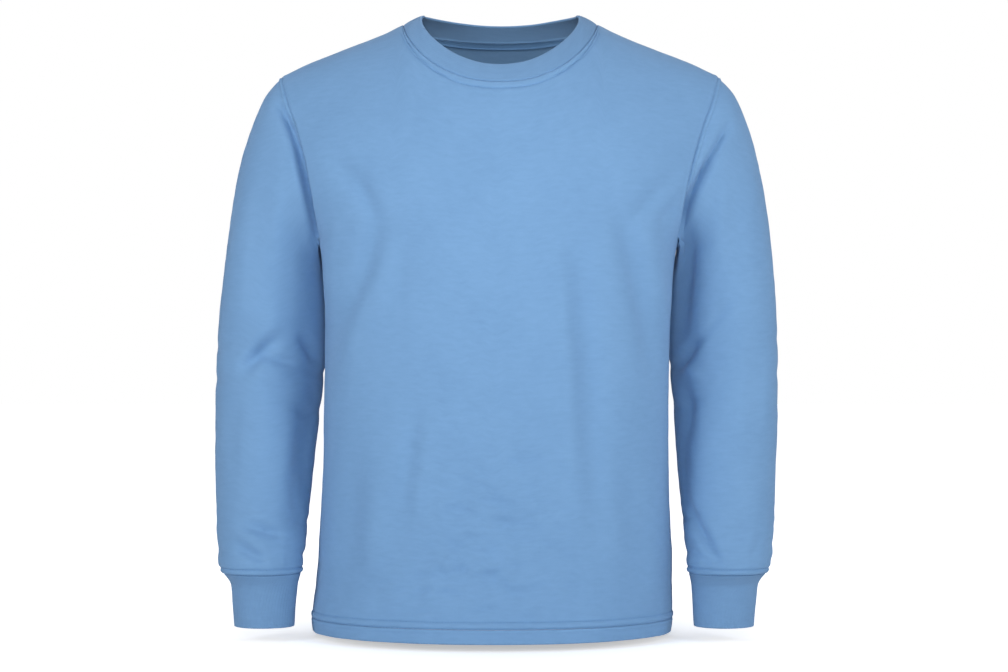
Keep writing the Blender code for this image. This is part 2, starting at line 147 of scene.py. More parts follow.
cuffSections = np.array((
    (0.2945, -0.0287, -0.6155, 0.2170, -0.0285, -0.6155, 0.0362, 0.0350, 1.00),
    (0.2908, -0.0290, -0.6225, 0.2187, -0.0290, -0.6225, 0.0325, 0.0315, 1.00),
    (0.2890, -0.0295, -0.6430, 0.2205, -0.0295, -0.6430, 0.0290, 0.0280, 1.00),
    (0.2878, -0.0300, -0.6670, 0.2213, -0.0300, -0.6670, 0.0280, 0.0275, 1.00),
))


# Curves and tables
def smooth(value):
    value = np.clip(value, 0.0, 1.0)
    return value * value * (3.0 - 2.0 * value)


# 0 up to a start, rising smoothly to 1 over a width.
def ramp(value, start, width):
    return smooth((value - start) / width)


def blend(first, second, weight):
    return first + (second - first) * weight


def tangentsOf(keys, values):
    ahead = np.concatenate([values[1:], values[-1:]])
    behind = np.concatenate([values[:1], values[:-1]])
    keysAhead = np.concatenate([keys[1:], keys[-1:]])
    keysBehind = np.concatenate([keys[:1], keys[:-1]])
    span = (keysAhead - keysBehind).reshape((-1,) + (1,) * (values.ndim - 1))
    return (ahead - behind) / span


# Smooth curve through values at increasing keys; values may have further axes.
def curveThrough(keys, values, at):
    at = np.clip(at, keys[0], keys[-1])
    span = np.clip(np.searchsorted(keys, at, side="right") - 1, 0, len(keys) - 2)
    slopes = tangentsOf(keys, values)
    width = keys[span + 1] - keys[span]
    t = (at - keys[span]) / width
    shape = t.shape + (1,) * (values.ndim - 1)
    t = t.reshape(shape)
    width = width.reshape(shape)
    return (values[span] * (2 * t ** 3 - 3 * t ** 2 + 1) + values[span + 1] * (3 * t ** 2 - 2 * t ** 3)
            + slopes[span] * width * (t ** 3 - 2 * t ** 2 + t) + slopes[span + 1] * width * (t ** 3 - t ** 2))


def readTable(table, column, at):
    return curveThrough(table[:, 0], table[:, column], np.asarray(at, float))


# Length along a path up to each of its points.
def pathLength(points):
    return np.concatenate([[0.0], np.cumsum(np.linalg.norm(np.diff(points, axis=0), axis=1))])


# Places from 0 to a length, closer together near each (place, reach, step).
def gradedSteps(length, coarse, places=()):
    x = np.linspace(0.0, length, 6001)
    step = np.full_like(x, coarse)
    for place, reach, fine in places:
        far = np.clip((np.abs(x - place) - reach) / (8 * fine + reach), 0.0, 1.0)
        step = np.minimum(step, fine + (coarse - fine) * far)
    count = np.concatenate([[0.0], np.cumsum(2 * np.diff(x) / (step[1:] + step[:-1]))])
    total = max(int(round(count[-1])), 1)
    return np.interp(np.linspace(0, count[-1], total + 1), count, x)


# The body's surface
def fall(level, out):
    low, radius = garment["slopeFadeLevel"], garment["ridgeRadius"]
    slope = garment["shoulderSlope"] * ramp(level, low, garment["shoulderRise"] - low)
    return slope * (np.hypot(out, radius) - radius)


def bodyPoints(face, turn, level):
    turn, level = np.broadcast_arrays(np.asarray(turn, float), np.asarray(level, float))
    angle = np.abs(turn) * math.pi / 2
    power = 2 / readTable(bodySections, 4, level)
    out = readTable(bodySections, 1, level) * np.sin(angle) ** power
    reach, archPower = garment["frontArch"] if face == "front" else garment["backArch"]
    below = np.clip((garment["shoulderRise"] - level) / reach, 0.0, 1.0)
    arch = (1.0 - (1.0 - below) ** archPower) ** (1.0 / archPower)
    sign, column = (-1, 2) if face == "front" else (1, 3)
    deep = readTable(bodySections, column, level) * arch * np.clip(np.cos(angle), 0, 1) ** power
    return np.stack([np.where(turn >= 0, out, -out), sign * deep, level - fall(level, out)], -1)


def shoulderHeight(out):
    return garment["shoulderRise"] - fall(garment["shoulderRise"], out)


def levelAt(out, height):
    low = np.full(np.shape(out), garment["hemLevel"])
    high = np.full(np.shape(out), garment["shoulderRise"])
    for _ in range(60):
        middle = (low + high) / 2
        under = middle - fall(middle, out) < height
        low = np.where(under, middle, low)
        high = np.where(under, high, middle)
    return (low + high) / 2


def turnAt(out, level):
    share = np.minimum(out / readTable(bodySections, 1, level), 1.0)
    return np.arcsin(share ** (readTable(bodySections, 4, level) / 2)) / (math.pi / 2)


# Grids that the sewn pieces share
grids = {
    "across": 0.0033,          # spacing of the columns of a body panel
    "down": 0.0042,            # spacing of its rows
    "armhole": 0.0036,         # spacing along the armhole
    "sleeve": 0.0031,          # spacing along a sleeve
    "cuff": 0.0021,
    "hem": 0.0016,
    "neckPart": 6 / 11,        # share of a half panel's columns that end at the neck
    "hemRidge": 0.0073,        # from the hem seam up to the topstitching
    "neckRidge": 0.0082,
    "cuffRidge": 0.0066,
    "beyond": 0.0004,          # from a ridge to the stitching that ends it
    "beyondCuff": 0.0006,
}

halfShoulder = garment["shoulderHalfWidth"] - garment["neckHalfWidth"]
neckColumns = gradedSteps(garment["neckHalfWidth"], grids["across"]) / garment["neckHalfWidth"]
shoulderColumns = gradedSteps(halfShoulder, grids["across"], [(halfShoulder, 0.004, 0.0010)]) / halfShoulder
halfColumns = np.concatenate([neckColumns * grids["neckPart"],
                              grids["neckPart"] + shoulderColumns[1:] * (1 - grids["neckPart"])])
underarmLevel = float(levelAt(np.array([readTable(armholeSeam, 1, garment["underarmHeight"])]),
                              np.array([garment["underarmHeight"]]))[0])
sideLength = underarmLevel - garment["hemSeamLevel"]
sideRows = gradedSteps(sideLength, grids["down"],
                       [(0.0, grids["hemRidge"] + 0.002, 0.0008), (0.080, 0.075, 0.0027)])[:-1]


# Turn, level and length along the armhole of places from the underarm to the shoulder.
def armholePath(face, shares=None):
    top = float(shoulderHeight(garment["shoulderHalfWidth"]))
    height = np.linspace(garment["underarmHeight"], top, 1201)
    out = readTable(armholeSeam, 1, height)
    level = levelAt(out, height)
    turn = turnAt(out, level)
    points = bodyPoints(face, turn, level)
    length = pathLength(points)
    if shares is None:
        return length[-1]
    at = shares * length[-1]
    return np.interp(at, length, turn), np.interp(at, length, level)


armLength = armholePath("front")
armShares = gradedSteps(armLength, grids["armhole"],
                        [(armLength, grids["neckRidge"] + 0.004, 0.0011)]) / armLength


def neckTops(face):
    share = np.sin(neckColumns * math.pi / 2)
    out = garment["neckHalfWidth"] * share
    powers = garment[face + "NeckCurve"]
    dip = garment[face + "NeckDrop"] * (1.0 - share ** powers[0]) ** (1.0 / powers[1])
    level = levelAt(out, shoulderHeight(garment["neckHalfWidth"]) - dip)
    return turnAt(out, level), level


def panelBase(face):
    neckTurn, neckLevel = neckTops(face)
    out = blend(garment["neckHalfWidth"], garment["shoulderHalfWidth"], shoulderColumns[1:])
    rise = np.full(out.shape, garment["shoulderRise"])
    topTurn = np.concatenate([neckTurn, turnAt(out, rise)])
    topLevel = np.concatenate([neckLevel, rise])
    armTurn, armLevel = armholePath(face, armShares)
    sideTurn = np.concatenate([np.ones(len(sideRows)), armTurn])[:, None]
    sideLevel = np.concatenate([garment["hemSeamLevel"] + sideRows, armLevel])[:, None]
    height = garment["shoulderRise"] - garment["hemSeamLevel"]
    climb = (sideLevel - garment["hemSeamLevel"]) / height
    share = blend(halfColumns, topTurn / topTurn[-1], climb ** 2)
    level = sideLevel - (garment["shoulderRise"] - topLevel) * climb ** 3
    turn = sideTurn * share
    turn = np.concatenate([-turn[:, :0:-1], turn], 1)
    level = np.concatenate([level[:, :0:-1], level], 1)
    grid = bodyPoints(face, turn, level)
    return grid if face == "front" else grid[:, ::-1]


def hemBase(face):
    depth = garment["hemSeamLevel"] - garment["hemFold"]
    levels = garment["hemFold"] + gradedSteps(depth, grids["hem"], [(depth, 0.002, 0.0007)])
    turn = np.concatenate([-halfColumns[:0:-1], halfColumns])
    grid = bodyPoints(face, turn[None, :], levels[:, None])
    return grid if face == "front" else grid[:, ::-1]


band = {
    "narrowing": 0.797,
    "frontLean": 0.860,
    "backLean": 0.870,
    "backDraw": 0.300,
    "sideLift": 0.0114,
    "frontLift": 0.0083,
    "backLift": 0.0052,
    "backBow": 0.0012,
    "frontWiden": 0.063,
    "rows": 22,
}


def neckbandBase(front, back):
    middle = front.shape[1] // 2
    reach = len(neckColumns) - 1
    seam = np.concatenate([front[-1, middle - reach:middle + reach], back[-1, middle - reach:middle + reach]])
    isFront = (np.arange(len(seam)) < 2 * reach)[:, None]
    draw = np.where(isFront, 0.0, band["backDraw"]) * np.abs(seam[:, :1] / garment["neckHalfWidth"]) ** 3
    lean = np.where(isFront, band["frontLean"], band["backLean"]) - draw
    share = -seam[:, 2:] / np.where(isFront, garment["frontNeckDrop"], garment["backNeckDrop"])
    lift = np.where(isFront, band["frontLift"], band["backLift"]) * share
    bow = np.where(isFront, 0.0, band["backBow"]) * 4 * share * (1 - share)
    early = np.clip(share, 0.0, 1.0) ** 0.6
    widen = 1 + np.where(isFront, band["frontWiden"], 0.0) * 4 * early * (1 - early)
    edge = np.concatenate([seam[:, :1] * band["narrowing"] * widen, seam[:, 1:2] * lean,
                           seam[:, 2:] + band["sideLift"] + lift + bow], 1)
    t = gradedSteps(1.0, 1 / band["rows"], [(0.0, 0.08, 0.02)])[:, None, None]
    return blend(seam[None], edge[None], t)


def armholeRing(front, back):
    start = len(sideRows)
    behind = back[start:, 0]
    ahead = front[start:, -1]
    return np.concatenate([behind, ahead[-2:0:-1]])


# Sections of the sleeve under the armhole ring, point for point.
def ringSections(ring, table):
    half = len(armShares) - 1
    index = np.arange(len(ring))
    share = np.where(index <= half, armShares[np.minimum(index, half)],
                     2.0 - armShares[np.clip(2 * half - index, 0, half)])
    angle = math.pi * share
    across = np.array((0.0, 1.0, 0.0))

    def frameOf(outer, inner):
        along = (outer - inner) / 2
        up = along / np.linalg.norm(along)
        return (outer + inner) / 2, along, np.cross(across, up)

    middle, along, beyond = frameOf(ring[half], ring[0])
    offset = ring - middle
    behind = index < half
    reach = np.where(behind, ring[:, 1].max(), -ring[:, 1].min())
    sections = []
    for row in table:
        newMiddle, newAlong, newBeyond = frameOf(row[0:3], row[3:6])
        height = blend(offset @ along / (along @ along), -np.cos(angle), row[8])
        side = blend(offset[:, 1] / reach, np.sin(angle), row[8])
        width = np.where(behind, row[7], row[6])
        bow = offset @ beyond * (1 - row[8])
        sections.append(newMiddle + newAlong * height[:, None] + across * (side * width)[:, None]
                        + newBeyond * bow[:, None])
    return np.array(sections)


# A tube through its sections, with rows closer together near each place.
def tubeBase(sections, spacing, places):
    steps = np.linalg.norm(np.diff(sections, axis=0), axis=2).mean(1)
    length = np.concatenate([[0.0], np.cumsum(steps)])
    places = [(place * length[-1], reach, fine) for place, reach, fine in places]
    return curveThrough(length, sections, gradedSteps(length[-1], spacing, places))


print("shared grids:", 2 * len(halfColumns) - 1, "columns,", len(sideRows) + len(armShares), "rows")

baseFront = panelBase("front")
baseBack = panelBase("back")
ring = armholeRing(baseFront, baseBack)
sleeveRing = np.concatenate([ring[None], ringSections(ring, sleeveSections)])
cuffRing = np.concatenate([sleeveRing[-1:], ringSections(ring, cuffSections)])
baseSleeve = tubeBase(sleeveRing, grids["sleeve"],
                      [(0.0, 0.006, 0.0011), (0.56, 0.035, 0.0021), (1.0, 0.012, 0.0009)])
baseCuff = tubeBase(cuffRing, grids["cuff"], [(0.0, 0.003, 0.0008), (1.0, 0.001, 0.0010)])


# Surface work shared by the pieces
def unit(vectors):
    return vectors / np.maximum(np.linalg.norm(vectors, axis=-1, keepdims=True), 1e-12)


def gridNormals(grid, closed):
    wide = np.concatenate([grid, grid[:, :1]], 1) if closed else grid
    a, b, c, d = wide[:-1, :-1], wide[:-1, 1:], wide[1:, 1:], wide[1:, :-1]
    face = np.cross(c - a, d - b)
    total = np.zeros_like(wide)
    for corner in (total[:-1, :-1], total[:-1, 1:], total[1:, 1:], total[1:, :-1]):
        corner += face
    if closed:
        total[:, 0] += total[:, -1]
        total = total[:, :-1]
    return unit(total)


# Distance of each point along its row from the middle column, and up its column.
def gridLengths(grid, closed):
    wide = np.concatenate([grid, grid[:, :1]], 1) if closed else grid
    along = np.zeros(wide.shape[:2])
    along[:, 1:] = np.cumsum(np.linalg.norm(np.diff(wide, axis=1), axis=2), 1)
    if not closed:
        along -= along[:, wide.shape[1] // 2][:, None]
    up = np.zeros(grid.shape[:2])
    up[1:] = np.cumsum(np.linalg.norm(np.diff(grid, axis=0), axis=2), 0)
    return along, up


# Distance up the piece square to its rows, which slanting columns don't stretch.
def squareHeights(grid, closed):
    first, last = (grid[:, -1:], grid[:, :1]) if closed else (grid[:, :1], grid[:, -1:])
    wide = np.concatenate([first, grid, last], 1)
    along = unit(wide[:, 2:] - wide[:, :-2])
    step = np.diff(grid, axis=0)
    across = unit(along[1:] + along[:-1])
    step = step - across * (step * across).sum(-1, keepdims=True)
    heights = np.zeros(grid.shape[:2])
    heights[1:] = np.cumsum(np.linalg.norm(step, axis=2), 0)
    return heights


def mirrorGrid(grid):
    return (grid * np.array((-1.0, 1.0, 1.0)))[:, ::-1]


# Soft noise from -1 to 1 over points, its lumps of about this size.
def noiseAt(points, size, seed):
    shape = points.shape[:-1]
    flat = (points.reshape(-1, 3) / np.asarray(size, float)).tolist()
    shift = Vector((seed * 13.7, seed * 5.3, seed * 9.1))
    return np.array([noise.noise(Vector(p) + shift) for p in flat]).reshape(shape)


# 1 between two distances from a seam and 0 outside them, with soft shoulders.
def ridge(distance, start, end, soft):
    return ramp(distance, start, soft) * smooth((end - distance) / soft)


def groove(distance, place, width):
    return -np.exp(-((distance - place) / width) ** 2)


# Lift from soft folds: each runs from a point by a middle point to an end, tapering out.
def strokeLift(across, up, strokes):
    lift = np.zeros_like(across)
    t = np.linspace(0.0, 1.0, 41)
    for fromX, fromZ, midX, midZ, toX, toZ, width, height in np.array(strokes) * mm:
        bendX = 2 * midX - (fromX + toX) / 2
        bendZ = 2 * midZ - (fromZ + toZ) / 2
        pathX = (1 - t) ** 2 * fromX + 2 * t * (1 - t) * bendX + t ** 2 * toX
        pathZ = (1 - t) ** 2 * fromZ + 2 * t * (1 - t) * bendZ + t ** 2 * toZ
        reach = 2.6 * width
        near = ((across > pathX.min() - reach) & (across < pathX.max() + reach)
                & (up > pathZ.min() - reach) & (up < pathZ.max() + reach))
        if not near.any():
            continue
        apart = np.hypot(across[near][:, None] - pathX, up[near][:, None] - pathZ)
        taper = np.sin(math.pi * (0.04 + 0.92 * t)) ** 0.8
        lift[near] += height * (np.exp(-(apart / width) ** 2) * taper).max(1)
    return lift


# Moves points of a sleeve outwards where they would come closer to the body than this.
def clearOfBody(points, clearance):
    x, y, z = points[..., 0], points[..., 1], points[..., 2]
    level = np.clip(z, garment["hemLevel"], underarmLevel - 0.004)
    width = readTable(bodySections, 1, level) + clearance
    deep = np.where(y < 0, readTable(bodySections, 2, level), readTable(bodySections, 3, level)) + clearance
    power = readTable(bodySections, 4, level)
    room = np.clip(1.0 - np.clip(np.abs(y) / deep, 0, 1) ** power, 0.0, 1.0)
    least = width * room ** (1 / power)
    under = ramp(-z, 0.002 - garment["underarmHeight"], 0.012)
    pushed = np.where(np.abs(x) < least, np.sign(x) * least, x)
    moved = points.copy()
    moved[..., 0] = blend(x, pushed, under)
    return moved


# Slight unevenness of the whole garment, the same on pieces that meet: height, size and seed.
undulations = ((0.0012, 0.11, 1), (0.0005, 0.045, 2))


def undulation(points):
    return sum(height * noiseAt(points, size, seed) for height, size, seed in undulations)


pieces = {}


def addBase(name, group, grid, closed, wall, folds=(), slot="jersey"):
    along, up = gridLengths(grid, closed)
    pieces[name] = {"name": name, "group": group, "grid": grid, "closed": closed, "wall": wall,
                    "folds": folds, "slot": slot, "normals": gridNormals(grid, closed),
                    "along": along, "up": up}


addBase("front_panel", "body", baseFront, False, 0.0020)
addBase("back_panel", "body", baseBack, False, 0.0020)
addBase("hem_band_front", "hem", hemBase("front"), False, 0.0030, ("lower",))
addBase("hem_band_back", "hem", hemBase("back"), False, 0.0030, ("lower",))
addBase("neckband", "neck", neckbandBase(baseFront, baseBack), True, 0.0030, ("upper",), "rib")
for side, turned in (("left", lambda grid: grid), ("right", mirrorGrid)):
    addBase("sleeve_" + side, "sleeve", turned(baseSleeve), True, 0.0018)
    addBase("cuff_" + side, "cuff", turned(baseCuff), True, 0.0024, ("upper",), "rib")
print("base grids:", {name: piece["grid"].shape[:2] for name, piece in pieces.items()})


# How the walls lean at the seams
# Row and column of every point on an edge of a piece.
def edgePoints(piece):
    height, width = piece["grid"].shape[:2]
    places = [(row, column) for row in (0, height - 1) for column in range(width)]
    if not piece["closed"]:
        places += [(row, column) for row in range(1, height - 1) for column in (0, width - 1)]
    return places


def keyOf(point):
    return tuple(np.round(point, 5))


# Sum of the normals of each group of pieces at every seam point.
def gatherNormals():
    found = {}
    for piece in pieces.values():
        for row, column in edgePoints(piece):
            groups = found.setdefault(keyOf(piece["grid"][row, column]), {})
            groups[piece["group"]] = groups.get(piece["group"], 0) + piece["normals"][row, column]
    return found


leaning = {"reach": 0.010, "most": 1.6}     # how far from a seam walls still lean, longest mitre


# Pieces that meet lean their walls the same way at the seam, so that the walls stay apart.
def leanPiece(piece, seamNormals):
    own = piece["normals"]
    lean = own.copy()
    for row, column in edgePoints(piece):
        groups = seamNormals[keyOf(piece["grid"][row, column])]
        mine = unit(groups[piece["group"]])
        total = mine.copy()
        for group, normal in groups.items():
            if group != piece["group"]:
                other = unit(normal)
                total = total + other * ramp(mine @ other, -0.2, 0.7)
        lean[row, column] = unit(total)
    fadeUp = smooth(1 - piece["up"] / leaning["reach"])[..., None]
    fadeDown = smooth(1 - (piece["up"][-1] - piece["up"]) / leaning["reach"])[..., None]
    mixed = own + (lean[:1] - own[:1]) * fadeUp + (lean[-1:] - own[-1:]) * fadeDown
    if not piece["closed"]:
        first = piece["along"] - piece["along"][:, :1]
        last = piece["along"][:, -1:] - piece["along"]
        for column, away in ((0, first), (-1, last)):
            fade = smooth(1 - away / leaning["reach"])[..., None]
            mixed += (lean[:, [column]] - own[:, [column]]) * fade * (1 - np.maximum(fadeUp, fadeDown))
        piece["fromSide"] = np.minimum(first, last)
    for row, column in edgePoints(piece):
        mixed[row, column] = lean[row, column]
    piece["lean"] = unit(mixed)
    slant = np.clip((piece["lean"] * own).sum(-1), 0.1, 1.0)
    piece["mitre"] = np.minimum(1.0 / slant, leaning["most"])


seamNormals = gatherNormals()
for piece in pieces.values():
    leanPiece(piece, seamNormals)
print("seams leaned:", len(seamNormals), "points")


# Folds, seams and small creases of each piece
# The tables of folds are in millimetres. A fold runs from, by and to a place across and up the piece, then
# come its half width and its height; a trough has a negative height.
mm = 0.001
frontFolds = {
    "folds": (
        (-184, -157, -157, -178, -134, -215, 11, -4.6),
        (-131, -222, -147, -277, -168, -340, 13, -8.4),
        (-178, -225, -184, -270, -184, -320, 12, 3.6),
        (-152, -180, -143, -200, -135, -222, 8, -2.6),
        (-142, -270, -154, -330, -162, -410, 14, 3.4),
        (-172, -290, -182, -340, -186, -400, 12, -3.4),
        (-100, -235, -106, -280, -112, -350, 13, -3),
        (62, -240, 75, -380, 87, -560, 15, 5),
        (84, -245, 97, -380, 110, -560, 15, -7),
        (128, -216, 153, -290, 172, -410, 13, -8),
        (160, -220, 171, -275, 178, -340, 11, 3.4),
        (143, -228, 168, -196, 200, -166, 9, -3.6),
        (178, -222, 186, -214, 198, -206, 6.5, -2.4),
        (-87, -430, -94, -485, -102, -560, 12, -4),
        (-70, -425, -76, -470, -84, -545, 11, 3),
        (-150, -480, -158, -540, -160, -610, 16, -4),
        (-128, -490, -132, -550, -132, -610, 14, 2.6),
        (140, -480, 150, -550, 156, -630, 15, -3.6),
        (18, -520, 4, -575, -4, -640, 12, -2.6),
        (86, -590, 93, -625, 96, -652, 9, -2.6),
        (-70, -600, -86, -630, -92, -655, 9, -2.4),
        (4, -600, 14, -618, 30, -628, 5.5, -2.2),
        (-20, -590, -6, -604, 10, -622, 5, -2.2),
        (-62, -612, -46, -624, -28, -622, 4.5, -2),
        (-40, -592, -30, -602, -14, -604, 4.5, -1.8),
    ),
    # middle across and up, reach across and up, size of the lumps across and up, height
    "crinkles": (
        (0, -540, 75, 80, 18, 10, 5.2),
        (0, -540, 75, 80, 30, 20, 4.4),
        (-40, -618, 85, 34, 22, 8.5, 4.8),
        (0, -560, 85, 95, 30, 16, -1.6),
    ),
    "slants": (0.5, -0.6, -0.25, 0.7),      # how far the lumps of each row are turned
}
backFolds = {
    "folds": (
        (-186, -150, -160, -185, -130, -240, 12, -4.6),
        (-128, -225, -140, -290, -160, -370, 13, -5.8),
        (-176, -230, -182, -285, -182, -350, 12, 3.4),
        (-60, -60, -30, -72, 10, -70, 14, -2.4),
        (186, -155, 154, -190, 124, -228, 11, -4.2),
        (122, -232, 143, -300, 160, -395, 12.5, -5.8),
        (170, -240, 177, -300, 179, -370, 12, 3.4),
        (46, -250, 56, -340, 74, -490, 15, -4.4),
        (66, -260, 76, -350, 92, -480, 14, 3),
        (-40, -290, -52, -380, -50, -500, 15, -4),
        (-112, -400, -104, -470, -96, -580, 13, -4.2),
        (-138, -430, -130, -490, -122, -570, 13, 2.8),
        (110, -480, 120, -540, 118, -625, 13, -3.6),
        (10, -560, -4, -600, -8, -650, 10, -2.6),
        (-158, -560, -164, -600, -166, -640, 11, -2.6),
    ),
    "crinkles": (
        (-20, -545, 80, 80, 16, 10, 5.4),
        (-20, -545, 80, 80, 30, 20, 4),
        (40, -618, 85, 34, 24, 8.5, 5),
        (-20, -560, 85, 95, 30, 16, -1.4),
    ),
    "slants": (-0.5, 0.6, 0.25, -0.7),
}
panelWork = {
    "calmHem": (0.010, 0.030),      # folds start this far from the hem, and are whole after so much more
    "calmSide": (0.004, 0.020),
    "crinkleSeeds": (30, 31, 32, 35),
    "creaseWidth": 0.14,            # the last row of crinkles makes thin lines, where its noise is near 0
    "faint": 0.00035,               # small unevenness everywhere
    "hemCrown": (0.0010, 0.00022),  # height of the doubled hem under its stitching, and its puckers
    "hemGrooves": (0.0006, 0.0005),
    "ripple": 0.0007,
    "rippleReach": 0.040,
    "sideGroove": 0.0005,
    "sideCrown": 0.00030,
    "neckCrown": (0.00055, 0.00012),
    "neckGroove": 0.0011,
    "shoulderGroove": 0.0003,
    "shoulderCrown": 0.0004,
}


# Points turned about the line of sight from the front, so that noise over them slants.
def slanted(points, angle):
    turned = points.copy()
    turned[..., 0] = points[..., 0] * math.cos(angle) - points[..., 2] * math.sin(angle)
    turned[..., 2] = points[..., 0] * math.sin(angle) + points[..., 2] * math.cos(angle)
    return turned


# Noise over the flat cloth of an open piece, its lumps of this width and height.
def clothNoise(piece, wide, high, seed):
    up = piece["up"]
    return noiseAt(np.stack([piece["along"] / wide, up / high, np.zeros_like(up)], -1), 1.0, seed)


def turnsRound(piece):
    return piece["along"][:, :-1] / piece["along"][:, -1:] * 2 * math.pi


# Noise round a tube that closes on itself.
def roundNoise(piece, lumps, high, seed):
    turn = turnsRound(piece)
    return noiseAt(np.stack([np.cos(turn) * lumps, np.sin(turn) * lumps, piece["up"] / high], -1), 1.0, seed)


def dressPanel(name, facts):
    piece, work = pieces[name], panelWork
    x, z = piece["grid"][..., 0], piece["grid"][..., 2]
    up, fromTop, fromSide = piece["up"], piece["up"][-1] - piece["up"], piece["fromSide"]
    lift = strokeLift(x, z, facts["folds"]) * ramp(up, *work["calmHem"]) * ramp(fromSide, *work["calmSide"])
    for row, slant, seed in zip(facts["crinkles"], facts["slants"], work["crinkleSeeds"]):
        middleX, middleZ, reachX, reachZ, sizeX, sizeZ, height = (value * mm for value in row)
        zone = np.exp(-((x - middleX) / reachX) ** 2 - ((z - middleZ) / reachZ) ** 2) * ramp(up, 0.006, 0.012)
        lumps = noiseAt(slanted(piece["grid"], slant), (sizeX, 2 * sizeX, sizeZ), seed)
        if seed == work["crinkleSeeds"][-1]:
            lumps = np.exp(-(lumps / work["creaseWidth"]) ** 2)
        lift += zone * height * lumps
    lift += work["faint"] * noiseAt(piece["grid"], (0.022, 0.022, 0.013), 5)
    # the hem: a double layer under twin needle lines
    pucker = clothNoise(piece, 0.007, 0.02, 6)
    crown, puckers = work["hemCrown"]
    lift += ridge(up, 0.0010, grids["hemRidge"] - 0.0004, 0.0016) * (crown + puckers * pucker)
    lift += work["hemGrooves"][0] * groove(up, 0.0, 0.0010)
    lift += work["hemGrooves"][1] * groove(up, grids["hemRidge"] + grids["beyond"], 0.0009)
    rippled = ridge(up, grids["hemRidge"], work["rippleReach"], 0.010)
    lift += work["ripple"] * clothNoise(piece, 0.017, 0.03, 7) * rippled
    # side, armhole and shoulder seams
    lift += work["sideGroove"] * groove(fromSide, 0.0, 0.0012)
    lift += work["sideCrown"] * ridge(fromSide, 0.0012, 0.0060, 0.0020)
    # the neck: topstitching below its seam, between the two neck points
    inNeck = ramp(-np.abs(x), -garment["neckHalfWidth"] - 0.004, 0.008)
    crown, puckers = work["neckCrown"]
    lift += inNeck * ridge(fromTop, 0.0006, grids["neckRidge"] - 0.0002, 0.0016) * (crown + puckers * pucker)
    lift += inNeck * work["neckGroove"] * groove(fromTop, grids["neckRidge"] + grids["beyond"], 0.0010)
    lift += blend(work["shoulderGroove"], work["neckGroove"], inNeck) * groove(fromTop, 0.0, 0.0010)
    lift += (1 - inNeck) * work["shoulderCrown"] * ridge(fromTop, 0.0010, 0.0055, 0.0018)
    piece["lift"] = lift


dressPanel("front_panel", frontFolds)
dressPanel("back_panel", backFolds)
print("panels dressed")

